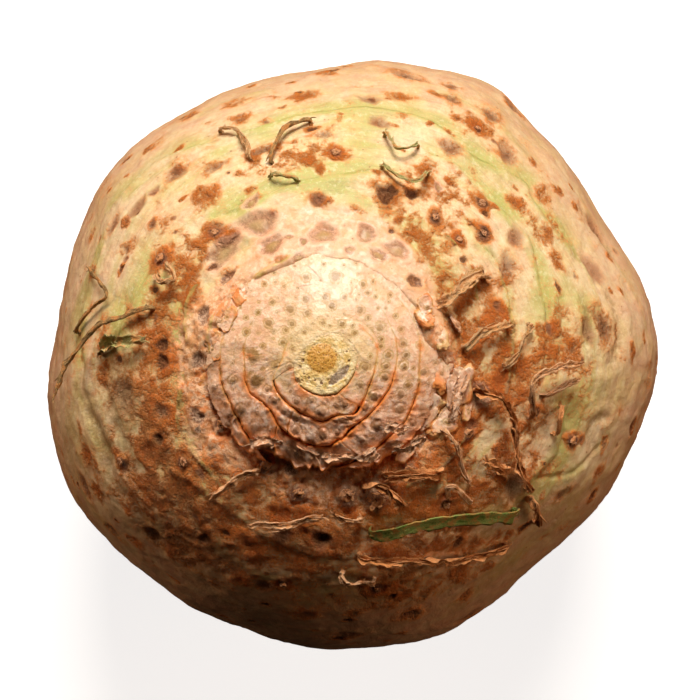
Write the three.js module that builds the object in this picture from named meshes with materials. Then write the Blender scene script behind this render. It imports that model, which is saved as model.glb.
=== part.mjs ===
// Celeriac: the swollen root, its cut crown of leaf bases, and the dried rootlets that cling to it.
// Millimetres, +Z up. The origin is the middle of the flat spot that the root stands on.
// A place on the skin is a bearing, counter-clockwise from +X seen from above, and a polar angle
// down from +Z, both in degrees and both seen from the root's core.
import * as THREE from 'three';

// ---- Driving dimensions ------------------------------------------------------------------------
const SEAT_HEIGHT = 86; // the level disc under the cut crown
const BELLY_RADIUS = 57; // mean radius at the widest level
const CROWN_CENTRE = new THREE.Vector2(-4.6, -1.6); // the crown grows a little off the middle
const LEAN_STARTS = 50; // above this height the root leans towards the crown
const CORE = new THREE.Vector3(0, 0, 46);
const CLEARANCE = 0.3; // air between two pieces
const SKIN_COLUMNS = 66;
const SKIN_ROWS = 30;
const BELLY_SHAPE = 0.95; // share of the belly's radius from which a level keeps the belly's outline
const ROUND_SHAPE = 0.4; // share of the belly's radius within which a level is round

// The widest outline, seen from above: bearing and radius.
const BELLY_OUTLINE = [
  [0, 59.4], [12, 58.3], [20, 55.9], [40, 55.7], [52, 56.6], [60, 58.3],
  [80, 57.0], [92, 55.4], [120, 56.2], [145, 58.0], [178, 56.9], [192, 59.2],
  [210, 59.8], [235, 57.2], [262, 56.8], [290, 56.6], [310, 53.6], [330, 56.4],
];

// The side profile, from the seat's rim down to the flat spot: share of the belly's radius, height.
const SIDE_PROFILE = [
  [0.377, SEAT_HEIGHT], [0.43, 85.4], [0.52, 83.2], [0.66, 78.2], [0.8, 70.4], [0.92, 60.4],
  [0.985, 50.5], [1.0, 44], [0.985, 36], [0.92, 24], [0.8, 13], [0.64, 4.6], [0.5, 0.9], [0.36, 0],
];

// Swellings where thick side roots were trimmed off, most of them below the belly:
// bearing, polar angle, height and radius, with their middles at one distance from the core.
const SWELLING_DISTANCE = 50;
const SWELLINGS = [
  [8, 116, 2.6, 9], [47, 124, 3.4, 10], [83, 112, 2.0, 8], [118, 127, 3.2, 10],
  [156, 114, 2.4, 9], [188, 130, 3.6, 10], [226, 117, 2.6, 9], [262, 126, 3.2, 10],
  [297, 112, 2.0, 8], [331, 129, 3.4, 10], [20, 143, 2.2, 8], [98, 146, 2.6, 8],
  [172, 148, 2.2, 8], [243, 145, 2.6, 8], [306, 147, 2.2, 8],
];

// The cut leaf bases, from the heart outwards: inner and outer radius, first and last bearing, and
// the height of the cut above the seat.
const LEAF_BASES = [
  [5.7, 8.4, -50, 190, 7.6], [5.7, 9.1, 197, 303, 7.0],
  [8.8, 12.8, -60, 168, 6.4], [9.5, 13.5, 173, 236, 5.6], [9.5, 13.8, 240, 293, 5.2],
  [13.2, 16.8, -65, 92, 5.0], [13.2, 16.8, 97, 168, 5.0], [13.9, 17.3, 172, 236, 4.4],
  [17.2, 20.4, -78, 40, 3.6], [17.2, 20.4, 44, 122, 3.8], [17.2, 20.4, 126, 176, 3.4],
  [17.7, 20.6, 180, 236, 3.0], [14.2, 18.6, 240, 280, 3.2],
];
const LEAF_BASE_BEVEL = 0.5;
const CRESCENT_STEP = 9; // degrees
const CRESCENT_FEWEST_STEPS = 6;
const CRESCENT_TIP = 0.35; // share of the crescent's width at its two tips
const CRESCENT_TAPER = 6; // how fast the width grows from a tip, in widths per whole length
const HEART_RADIUS = 5.3;
const HEART_TOP = 9.2; // above the seat
const HEART_SIDES = 28;

// Dried rootlets, fibres and curled strips that cling to the root, and the papery flaps left round
// the crown: name, thickness, width, and a route of bearing, polar angle and height of its middle
// above the skin.
const ROOTLETS = [
  ['long_twig_left', 1.2, 1.2, [
    [167, 45, 1.2], [170, 49, 1.8], [172, 52, 2.4], [174, 55, 3.0], [181, 61, 3.8], [184, 62, 4.6],
    [188, 63, 5.4],
  ]],
  ['thin_dark_left', 0.9, 0.9, [[162, 66, 0.9], [166, 57, 1.0], [170, 61, 1.1], [175, 66, 1.0]]],
  ['leaf_curl_left', 0.8, 2.6, [[179, 56, 1.0], [177, 52, 1.8], [177, 48, 2.8], [176, 44, 1.6]]],
  ['loop_left', 1.0, 1.0, [[154, 45, 1.0], [155, 42, 2.3], [157, 40, 2.9], [159, 43, 2.3], [158, 46, 1.0]]],
  ['faint_upper_left', 0.8, 0.8, [[120, 64, 0.9], [117, 61, 1.2], [116, 55, 1.3], [117, 52, 0.9]]],
  ['forked_brown_upper', 1.0, 1.0, [[100, 58, 1.1], [105, 56, 1.8], [108, 53, 2.2], [112, 49, 1.0]]],
  ['forked_green_upper', 0.9, 0.9, [[114, 45, 0.9], [111, 43, 1.8], [107, 42, 0.9]]],
  ['curl_right_upper', 1.0, 1.0, [
    [80, 45, 1.0], [76, 43, 1.5], [71, 42, 2.0], [68, 43, 2.6], [67, 47, 1.0],
  ]],
  ['curl_top_right', 1.0, 1.0, [[81, 54, 1.0], [79, 51, 1.6], [77, 49, 2.1], [74, 50, 2.1], [72, 53, 1.0]]],
  ['folded_strip_right', 0.9, 2.0, [
    [30, 23, 1.0], [29, 25, 2.6], [30, 28, 3.0], [32, 33, 2.4], [31, 37, 1.0],
  ]],
  ['curl_right', 1.2, 1.2, [[3, 27, 1.2], [9, 30, 2.4], [10, 34, 2.2], [11, 38, 1.2]]],
  ['bent_right', 1.0, 1.0, [[9, 44, 1.0], [6, 41, 1.8], [0, 39, 1.6], [356, 37, 1.0]]],
  ['tan_right', 1.0, 1.0, [
    [358, 54, 3.3], [357, 49, 3.3], [354, 43, 3.5], [351, 41, 3.8], [347, 42, 3.2], [341, 46, 0.8],
  ]],
  ['straight_right', 0.9, 0.9, [[354, 55, 2.2], [352, 52, 1.6], [348, 48, 0.9]]],
  ['hook_right', 0.9, 0.9, [[346, 53, 0.9], [343, 52, 2.0], [339, 54, 0.9]]],
  ['long_right', 1.2, 1.2, [
    [344, 31, 1.2], [344, 35, 2.4], [341, 38, 2.4], [337, 41, 2.0], [331, 44, 1.6], [327, 47, 1.8],
    [324, 51, 2.0], [323, 55, 1.2],
  ]],
  ['long_right_tail', 1.2, 1.2, [[321, 58, 1.2], [320, 60, 1.7], [318, 65, 1.2]]],
  ['thin_right', 0.8, 0.8, [[321, 28, 0.9], [320, 30, 2.1], [318, 33, 1.8], [314, 37, 1.2], [313, 41, 0.9]]],
  ['ring_right', 0.9, 0.9, [[305, 40, 0.9], [306, 37, 2.0], [308, 38, 2.1], [309, 45, 0.9]]],
  ['orange_under', 0.9, 1.8, [[287, 29, 1.0], [294, 29, 2.4], [301, 31, 2.2], [306, 34, 1.0]]],
  ['curl_under', 1.1, 1.1, [[277, 30, 1.1], [282, 29, 2.7], [287, 32, 2.5], [289, 36, 1.1]]],
  ['stub_under', 1.6, 1.6, [[323, 46, 1.3], [323, 42, 3.0], [322, 38, 3.4]]],
  ['green_strip', 1.0, 3.0, [
    [277, 41, 1.0], [284, 41, 2.1], [293, 42, 1.8], [305, 47, 1.8], [315, 57, 1.0],
  ]],
  ['fibre_under_strip', 1.1, 1.1, [
    [273, 46, 1.1], [279, 47, 1.6], [285, 49, 1.3], [291, 52, 1.1], [297, 56, 1.1], [303, 60, 1.1],
    [309, 64, 1.1],
  ]],
  ['bits_under', 0.9, 0.9, [[268, 51, 1.0], [270, 52, 1.6], [273, 52, 1.4], [276, 53, 1.0]]],
  ['woody_left', 1.3, 1.3, [[226, 42, 3.1], [227, 38, 2.3], [229, 34, 1.5], [231, 33, 1.2]]],
  ['pale_fibre', 1.0, 1.0, [[239, 42, 2.7], [244, 41, 1.4], [250, 40, 0.8], [255, 37, 1.6], [260, 35, 2.6]]],
  ['pale_fibre_right', 0.9, 0.9, [[264, 34, 3.0], [269, 36, 2.1], [273, 37, 1.0]]],
  ['dry_flap_1', 0.6, 2.2, [[222, 28, 4.4], [226, 25, 5.2], [231, 24, 5.0]]],
  ['dry_flap_2', 0.6, 1.6, [[236, 23, 4.2], [243, 23, 4.6], [251, 23, 4.4]]],
  ['dry_flap_3', 0.6, 1.6, [[256, 23, 4.6], [262, 22, 5.2], [269, 22, 4.5]]],
  ['dry_flap_4', 0.6, 1.4, [[273, 22, 4.8], [278, 22, 5.2], [285, 21, 5.0]]],
  ['dry_flap_5', 0.7, 1.6, [[295, 17, 6.3], [302, 18, 6.8], [306, 19, 6.1]]],
  ['dry_flap_6', 0.7, 1.8, [[295, 22, 5.0], [301, 23, 5.4], [307, 23, 5.4], [312, 24, 5.0]]],
  ['dry_flap_7', 0.7, 1.6, [[22, 25, 0.8], [17, 25, 1.3], [11, 26, 0.8]]],
  ['dry_flap_8', 0.7, 1.8, [[351, 27, 0.8], [341, 26, 1.5], [332, 27, 1.5], [326, 28, 0.8]]],
];
const ROOTLET_SIDES = 6;
const STEPS_PER_STRETCH = 3; // between two points of a route

const skinFinish = { color: 0xd8bd86, roughness: 0.62, metalness: 0 };
const heartFinish = { color: 0xc9a93a, roughness: 0.5, metalness: 0 };
const leafBaseFinish = { color: 0xe2bd93, roughness: 0.5, metalness: 0 };
const rootletFinish = { color: 0xa9733f, roughness: 0.7, metalness: 0 };

function mesh(name, geometry, finish) {
  const made = new THREE.Mesh(geometry, new THREE.MeshStandardMaterial(finish));
  made.name = name;
  return made;
}

function planPoint(radius, bearing) {
  const turn = THREE.MathUtils.degToRad(bearing);
  return new THREE.Vector2(radius * Math.cos(turn), radius * Math.sin(turn));
}

function direction(bearing, polarAngle) {
  const fall = THREE.MathUtils.degToRad(polarAngle);
  const flat = planPoint(Math.sin(fall), bearing);
  return new THREE.Vector3(flat.x, flat.y, Math.cos(fall));
}

// ---- The swollen root --------------------------------------------------------------------------
function bellyCurve() {
  const corners = BELLY_OUTLINE.map(([bearing, radius]) => {
    const place = planPoint(radius, bearing);
    return new THREE.Vector3(place.x, place.y, 0);
  });
  return new THREE.CatmullRomCurve3(corners, true, 'centripetal').getSpacedPoints(SKIN_COLUMNS);
}

function sideCurve() {
  const corners = SIDE_PROFILE.map(([share, height]) => new THREE.Vector3(share * BELLY_RADIUS, height, 0));
  return new THREE.CatmullRomCurve3(corners, false, 'centripetal').getSpacedPoints(SKIN_ROWS);
}

// A point of the belly's outline carried to another level: it shrinks, turns round, and leans.
function skinPlace(belly, radius, height) {
  const share = radius / BELLY_RADIUS;
  const roundness = 1 - THREE.MathUtils.smoothstep(share, ROUND_SHAPE, BELLY_SHAPE);
  const round = belly.clone().setLength(BELLY_RADIUS);
  const place = belly.clone().lerp(round, roundness).multiplyScalar(share);
  const lean = THREE.MathUtils.smoothstep(height, LEAN_STARTS, SEAT_HEIGHT);
  return place.add(new THREE.Vector3(CROWN_CENTRE.x * lean, CROWN_CENTRE.y * lean, height));
}

function swell(place, centres) {
  const outward = place.clone().sub(CORE).normalize();
  let rise = 0;
  for (const { centre, height, radius } of centres) {
    rise += height * Math.exp(-centre.distanceToSquared(place) / (radius * radius));
  }
  place.addScaledVector(outward, rise);
  place.z = Math.max(place.z, 0);
  return place;
}

function swollenRoot() {
  const belly = bellyCurve();
  const side = sideCurve();
  const centres = SWELLINGS.map(([bearing, polarAngle, height, radius]) => ({
    centre: direction(bearing, polarAngle).multiplyScalar(SWELLING_DISTANCE).add(CORE), height, radius,
  }));
  const rows = side.length + 1;
  const geometry = new THREE.SphereGeometry(1, SKIN_COLUMNS, rows);
  const vertices = geometry.getAttribute('position');
  for (let row = 0; row <= rows; row += 1) {
    for (let column = 0; column <= SKIN_COLUMNS; column += 1) {
      let place = new THREE.Vector3(CROWN_CENTRE.x, CROWN_CENTRE.y, SEAT_HEIGHT);
      if (row === rows) place = new THREE.Vector3(0, 0, 0);
      if (row > 0 && row < rows) {
        const { x: radius, y: height } = side[row - 1];
        place = skinPlace(belly[column % SKIN_COLUMNS], radius, height);
        if (height < SEAT_HEIGHT && height > 0) swell(place, centres);
      }
      vertices.setXYZ(row * (SKIN_COLUMNS + 1) + column, place.x, place.y, place.z);
    }
  }
  geometry.deleteAttribute('normal');
  geometry.deleteAttribute('uv');
  return mesh('root_body', geometry, skinFinish);
}

// ---- The cut crown -----------------------------------------------------------------------------
function crescent(inner, outer, first, last) {
  const steps = Math.max(CRESCENT_FEWEST_STEPS, Math.round((last - first) / CRESCENT_STEP));
  const middle = (inner + outer) / 2;
  const shape = [];
  for (const [edge, forward] of [[outer, true], [inner, false]]) {
    for (let step = 0; step <= steps; step += 1) {
      const share = forward ? step / steps : 1 - step / steps;
      const taper = Math.min(1, CRESCENT_TAPER * Math.min(share, 1 - share) + CRESCENT_TIP);
      shape.push(planPoint(middle + (edge - middle) * taper, first + (last - first) * share));
    }
  }
  return new THREE.Shape(shape);
}

function leafBases() {
  const bevel = LEAF_BASE_BEVEL;
  return LEAF_BASES.map(([inner, outer, first, last, height], index) => {
    const geometry = new THREE.ExtrudeGeometry(crescent(inner, outer, first, last), {
      depth: height - 2 * bevel - CLEARANCE,
      bevelThickness: bevel,
      bevelSize: bevel,
      bevelOffset: -bevel,
      bevelSegments: 1,
    });
    const made = mesh(`leaf_base_${String(index + 1).padStart(2, '0')}`, geometry, leafBaseFinish);
    made.position.set(CROWN_CENTRE.x, CROWN_CENTRE.y, SEAT_HEIGHT + CLEARANCE + bevel);
    return made;
  });
}

function heartBud() {
  const profile = [
    [0, 0], [HEART_RADIUS * 0.9, 0], [HEART_RADIUS, 0.6], [HEART_RADIUS, HEART_TOP - 2.2],
    [HEART_RADIUS * 0.8, HEART_TOP - 0.9], [HEART_RADIUS * 0.4, HEART_TOP - 0.2],
    [0, HEART_TOP],
  ].map(([radius, height]) => new THREE.Vector2(radius, height));
  const geometry = new THREE.LatheGeometry(profile, HEART_SIDES);
  geometry.rotateX(Math.PI / 2);
  const made = mesh('heart_bud', geometry, heartFinish);
  made.position.set(CROWN_CENTRE.x, CROWN_CENTRE.y, SEAT_HEIGHT + CLEARANCE);
  return made;
}

// ---- Rootlets and flaps ------------------------------------------------------------------------
// A path beside the skin, whose sections keep one face turned away from the core.
class ClingingPath extends THREE.CatmullRomCurve3 {
  computeFrenetFrames(segments) {
    const frames = { tangents: [], normals: [], binormals: [] };
    for (let step = 0; step <= segments; step += 1) {
      const tangent = this.getTangentAt(step / segments);
      const outward = this.getPointAt(step / segments).sub(CORE).normalize();
      const normal = outward.addScaledVector(tangent, -outward.dot(tangent)).normalize();
      frames.tangents.push(tangent);
      frames.normals.push(normal);
      frames.binormals.push(tangent.clone().cross(normal));
    }
    return frames;
  }
}

// The point that stands a given height over the skin, in a direction seen from the core.
function overSkin(body, bearing, polarAngle, height) {
  const outward = direction(bearing, polarAngle);
  const start = CORE.clone().addScaledVector(outward, 3 * BELLY_RADIUS);
  const inward = outward.clone().negate();
  const [hit] = new THREE.Raycaster(start, inward).intersectObject(body);
  return hit.point.addScaledVector(outward, height);
}

function rootlets(body) {
  return ROOTLETS.map(([name, thickness, width, route]) => {
    const section = new THREE.Shape();
    section.absellipse(0, 0, thickness / 2, width / 2, 0, 2 * Math.PI);
    const geometry = new THREE.ExtrudeGeometry(section, {
      curveSegments: ROOTLET_SIDES / 2,
      steps: STEPS_PER_STRETCH * (route.length - 1),
      extrudePath: new ClingingPath(route.map((place) => overSkin(body, ...place))),
    });
    return mesh(name, geometry, rootletFinish);
  });
}

const celeriac = new THREE.Group();
const root = swollenRoot();
celeriac.add(root, heartBud(), ...leafBases(), ...rootlets(root));

export default celeriac;
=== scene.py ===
"""Celeriac root: skin, cut crown, rootlets and papery flaps, built around the root's frame.

Lengths are in millimetres while a piece is being shaped, and in metres in the finished mesh. A place
on the skin is either a bearing (counter-clockwise from +X) and a polar angle (down from +Z), both in
degrees and both seen from the root's core, or a spot of the 700 by 700 picture that the camera takes,
which is carried onto the skin along the camera's ray. Relief is soft noise of several sizes, whose
bare numbers are its heights and sizes in mm and its seeds.
"""
import math
import random

import bmesh
import bpy
import numpy as np
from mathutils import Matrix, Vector, noise
from mathutils.bvhtree import BVHTree
from mathutils.kdtree import KDTree


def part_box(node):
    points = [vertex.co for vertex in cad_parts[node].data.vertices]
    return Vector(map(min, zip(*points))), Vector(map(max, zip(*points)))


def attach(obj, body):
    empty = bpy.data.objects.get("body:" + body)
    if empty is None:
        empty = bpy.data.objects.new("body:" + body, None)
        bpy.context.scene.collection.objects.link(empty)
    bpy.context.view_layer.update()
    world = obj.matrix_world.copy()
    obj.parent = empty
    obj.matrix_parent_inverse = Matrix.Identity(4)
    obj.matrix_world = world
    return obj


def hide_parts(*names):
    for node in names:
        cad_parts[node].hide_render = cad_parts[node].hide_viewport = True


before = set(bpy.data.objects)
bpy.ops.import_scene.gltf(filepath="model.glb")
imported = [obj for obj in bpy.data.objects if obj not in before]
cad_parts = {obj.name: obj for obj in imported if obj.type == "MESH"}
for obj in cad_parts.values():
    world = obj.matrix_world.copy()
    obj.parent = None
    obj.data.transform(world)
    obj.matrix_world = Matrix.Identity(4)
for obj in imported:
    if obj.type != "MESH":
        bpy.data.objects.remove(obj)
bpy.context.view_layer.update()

bl_info = {
    "name": "Celeriac root",
    "version": (1, 0, 0),
    "blender": (4, 5, 0),
    "location": "3D View > Sidebar > Celeriac",
    "description": "Builds a celeriac's skin, cut crown, rootlets and papery flaps around its frame",
    "category": "Add Mesh",
}

MM = 0.001
CORE = Vector((0, 0, 46))  # mm: the point that bearings and polar angles are seen from
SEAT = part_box("leaf_base_01")[0].z / MM  # the level that the leaf bases stand on
CROWN = (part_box("heart_bud")[0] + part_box("heart_bud")[1]) / 2 / MM  # the middle of the heart
SEEDS = {"skin": 3, "strands": 8, "heart": 5, "stubs": 21, "chunks": 31, "flaps": 50}
GOLDEN_ANGLE = 137.5  # degrees from one spot to the next, for an even spread

# ---- The camera --------------------------------------------------------------------------------
PICTURE = 700  # pixels across and down
LENS = 135
SENSOR = 36
FOCAL = LENS / SENSOR * PICTURE  # pixels
EYE = Vector((0, 0.76, 547))  # mm, looking straight down with +Y up in the picture

# ---- Marks on the skin, each by its spot in the picture ----------------------------------------
# Lines: half width and depth in mm, then the spots that the line passes.
LEDGES = (  # low steps where rings of old leaves sat, with a green tinge along them
    (.9, .55, ((262, 236), (279, 222), (297, 216), (324, 213), (350, 216), (372, 221), (395, 234),
        (417, 251), (428, 264), (440, 283), (448, 298))),
    (1, .6, ((240, 204), (268, 193), (297, 181), (330, 175), (350, 173), (372, 168))),
    (.7, .5, ((432, 153), (457, 164), (475, 185), (488, 196), (506, 212), (526, 232), (535, 257),
        (540, 290), (546, 312), (545, 348), (541, 372))),
    (.7, .45, ((118, 199), (143, 172), (163, 157), (190, 147), (225, 138), (263, 125), (297, 116),
        (330, 110), (363, 107), (390, 109), (420, 116), (442, 127), (470, 152), (493, 165),
        (526, 181), (535, 201), (551, 223), (566, 240))),
    (1, .5, ((183, 296), (181, 318), (182, 345), (184, 388))),
    (.9, .4, ((152, 262), (138, 290), (124, 318), (112, 352))),
    (.8, .4, ((96, 262), (84, 300), (80, 335), (84, 372))),
    (1, .5, ((560, 402), (566, 430), (552, 462), (528, 486))),
    (.9, .4, ((508, 556), (488, 574), (462, 590))),
    (.9, .45, ((174, 478), (190, 484), (214, 502), (241, 524), (268, 542), (300, 556), (340, 560))),
    (.9, .5, ((257, 578), (300, 588), (350, 588), (398, 578))),
    (.9, .4, ((420, 490), (450, 470), (462, 452))),
)
FOLDS = (  # deep creases, darkened with grime and with painted shade
    (1.3, 1.5, ((74, 386), (80, 400), (89, 418), (103, 450), (112, 482), (134, 511), (156, 546))),
    (1.2, 1.3, ((107, 392), (114, 424), (122, 450), (128, 470))),
    (1.2, 1.2, ((584, 210), (600, 232), (611, 250))),
    (1.2, 1.6, ((580, 258), (593, 276), (605, 291), (617, 312), (620, 344), (612, 366))),
    (1, .9, ((583, 300), (589, 318), (588, 342))),
    (1, .9, ((163, 457), (172, 476), (184, 500), (198, 528), (214, 552), (240, 568))),
    (.8, .8, ((607, 416), (596, 421), (590, 434), (592, 448))),
    (1.1, .9, ((258, 573), (290, 581), (330, 583), (380, 576), (420, 570))),
    (1.2, 1.2, ((506, 462), (515, 486), (520, 510))),
)
CREASES = (  # fine lines
    (.5, .5, ((185, 390), (179, 425), (186, 440), (201, 457), (223, 487))),
    (.5, .45, ((535, 479), (564, 475), (584, 462), (607, 439))),
    (.5, .4, ((571, 398), (566, 424), (562, 446))),
    (.45, .4, ((469, 222), (482, 244), (499, 262), (508, 290), (514, 330), (516, 372))),
    (.45, .4, ((208, 262), (238, 250), (262, 236))),
    (.45, .4, ((214, 216), (240, 209), (262, 198))),
    (.5, .5, ((502, 372), (504, 398), (498, 426))),
    (.45, .4, ((346, 590), (385, 588), (428, 578))),
    (.45, .4, ((128, 196), (150, 176), (170, 165))),
    (.45, .4, ((560, 300), (566, 330), (562, 352))),
    (.45, .35, ((590, 150), (604, 176), (620, 204))),
    (.45, .35, ((440, 92), (468, 100), (494, 112))),
)
SEAMS = (  # thin edges of old leaf sheaths that stand up from the skin: half width and height in mm
    (.3, .45, ((222, 320), (216, 340), (219, 362), (224, 386), (231, 406), (242, 424), (254, 442))),
    (.35, .45, ((180, 392), (178, 410), (178, 426), (189, 446), (203, 464), (222, 488))),
    (.35, .4, ((499, 273), (506, 290), (512, 312), (515, 332), (513, 350), (509, 372), (506, 392))),
    (.3, .35, ((448, 236), (462, 252), (472, 272), (478, 296), (479, 318))),
    (.35, .45, ((252, 300), (262, 286), (278, 275), (298, 265))),
    (.3, .35, ((196, 286), (189, 302), (186, 322), (188, 340))),
    (.3, .35, ((468, 424), (460, 444), (446, 462), (428, 476), (408, 486))),
)
# Spots of each kind: how many radii one reaches, then across, down, radius in mm, and how much longer
# than wide it runs round the root.
SPOTS = {
    "rust": (2.6, (
        (235, 102, 1.4, 1.8), (304, 95, 1.6, 1.5), (326, 74, 1.3, 1.6), (190, 116, 1.4, 1.6),
        (147, 150, 1.2, 1.2), (109, 190, .8, 1), (90, 233, 1.2, 1), (125, 222, 1, 1),
        (208, 195, 1.7, 1.1), (240, 173, 1, 1.1), (306, 157, 1.1, 1.1), (240, 118, 1.4, 1.8),
        (92, 272, 1.4, 1), (399, 95, 1.5, 1.6), (478, 126, 1.7, 1.3), (458, 118, .9, 1),
        (546, 230, 1, 1.2), (556, 261, 1.5, 1.1), (610, 257, 1, 1), (559, 190, .9, 1.3),
        (517, 202, 1.5, 1.1), (482, 203, 1.2, 1.1), (459, 238, 1.1, 1), (427, 170, 1.5, 1.1),
        (544, 196, 1.6, 1.3), (410, 180, .8, 1), (399, 219, .7, 1), (357, 209, 1, 1.2),
        (85, 455, 1.6, 1), (103, 375, 1.5, 1), (144, 453, 1.8, 1.1), (96, 491, 1.3, 1.1),
        (134, 542, 1.5, 1.1), (161, 437, 1.7, 1), (183, 462, 1.9, 1), (248, 546, 2, 1.3),
        (205, 540, 1.6, 1), (282, 518, 2.2, 1.4), (619, 466, .9, 1.2), (598, 473, 1.3, 1.1),
        (633, 426, .9, 1.6), (633, 350, .9, 1.8), (459, 573, 1.6, 1.1), (466, 597, 1.5, 1.3),
        (377, 589, 1.6, 1.1), (405, 595, 1.2, 1.1), (320, 200, 1.2, 1.1), (446, 506, 2.3, 1.1),
        (476, 616, 1.3, 1.2), (412, 616, 1.2, 1.4), (241, 582, 1.2, 1.2), (283, 585, 1.4, 1.1),
        (306, 616, 1.1, 1.3), (352, 614, 1.2, 1.2), (574, 351, 1.6, 1), (522, 372, 1.5, 1.2),
        (268, 386, 1, 1), (500, 380, 1.6, 1.2), (430, 124, .6, 1), (372, 98, .6, 1),
        (228, 236, 1.4, 1.4), (196, 300, 1.6, 1.2), (320, 168, .9, 1), (336, 152, 1.3, 1.1),
    )),
    "dark": (2.4, (
        (175, 173, 2, 1.3), (154, 192, 1.1, 1.1), (136, 208, 1.5, 1.9), (112, 225, 1.3, 1.8),
        (324, 135, 1.2, 1.3), (318, 199, 1.5, 1), (214, 230, 1.6, 1.1), (174, 218, .6, 1),
        (175, 232, .5, 1), (123, 248, .9, 1.1), (123, 258, .8, 1), (160, 259, 1.5, 1),
        (214, 167, 1.3, 1.6), (452, 86, 1.2, 1.3), (452, 98, 1.3, 1.3), (370, 98, 1.5, 1.7),
        (407, 74, 1.6, 1.9), (493, 113, 1.6, 1.3), (514, 105, 1.7, 1.5), (508, 154, 2.1, 1.3),
        (451, 147, 1.7, 1.5), (379, 122, 1.5, 1.4), (436, 217, 1.3, 1), (484, 236, 1.5, 1),
        (598, 230, 1.8, 1.9), (498, 306, 1, 1), (595, 271, 1.8, 1.9), (604, 326, 1.8, 2),
        (589, 330, 1.5, 1.8), (161, 412, 1.6, 1), (122, 395, 2, 1.8), (122, 468, 1.3, 1.3),
        (83, 486, 1.6, 1.7), (112, 531, 1.5, 1.3), (156, 540, 2, 1.3), (205, 541, 1.3, 1),
        (281, 537, 1.5, 1.3), (321, 541, 2, 1), (573, 441, 1.4, 1), (562, 495, 1.2, 1.4),
        (632, 426, 1.2, 1.5), (472, 426, 1.4, 1), (515, 488, 2.2, 1.3), (390, 563, 1, 1),
        (376, 590, 1.3, 1.3), (410, 616, 1.5, 1.6), (306, 616, 1.4, 1.5), (152, 224, 1, 1.1),
        (430, 398, 1, 1), (440, 366, 1.2, 1), (262, 150, 1, 2.4), (262, 586, 1.4, 1.6),
        (345, 636, 1.6, 2), (470, 618, 1.6, 1.8), (515, 238, 1.7, 1.2), (508, 266, 1.9, 1.2),
    )),
    "pit": (2.6, (
        (385, 194, 1.7, 1), (392, 190, 1.1, 1), (411, 194, 1.2, 1), (321, 541, 1.5, 1),
        (158, 440, 1, 1), (446, 506, 1, 1), (208, 317, 1.5, 1.1), (201, 360, 1.4, 1.1),
        (230, 279, 1.2, 1.3), (411, 285, 1.2, 1.2), (197, 417, 1.2, 1.2), (236, 334, 1.1, 1),
        (226, 366, 1, 1.1), (214, 404, .9, 1.2), (262, 458, .9, 1.2), (290, 470, 1, 1.2),
        (160, 345, 1.1, 1.2), (161, 362, 1.2, 1.1),
    )),
    "plate": (2, (  # smooth flat scars of old leaves and roots, in a fine groove
        (223, 252, 1.9, 1.8), (258, 224, 2.2, 1.4), (274, 249, 1.7, 1.3), (324, 237, 2.1, 1.1),
        (366, 236, 1.6, 1.1), (397, 252, 1.7, 1.25), (377, 260, 1.3, 1.1), (350, 257, .9, 1),
        (251, 203, 1.2, 1.2), (439, 186, .8, 1), (478, 395, 1.7, 1.2), (304, 268, 1.1, 1),
        (306, 248, .8, 1), (290, 240, .7, 1.2),
    )),
    "stub": (3.2, (  # broken root ends that stand out of the skin
        (214, 232, 1, 1), (436, 217, .9, 1), (459, 239, .8, 1), (336, 152, 1, 1),
        (160, 258, 1.1, 1), (484, 232, 1, 1.3), (482, 203, 1, 1.2), (298, 494, 1.5, 1),
        (348, 496, 1.9, 1), (376, 500, 2, 1), (446, 505, 1, 1), (478, 128, .8, 1),
        (573, 441, 1.1, 1), (183, 462, 1.1, 1), (283, 585, .9, 1), (377, 590, .9, 1),
        (266, 466, 1.2, 1), (222, 425, 1.4, 1), (410, 470, 1.3, 1), (468, 434, 1.2, 1),
        (120, 462, .9, 1),
    )),
}
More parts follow.
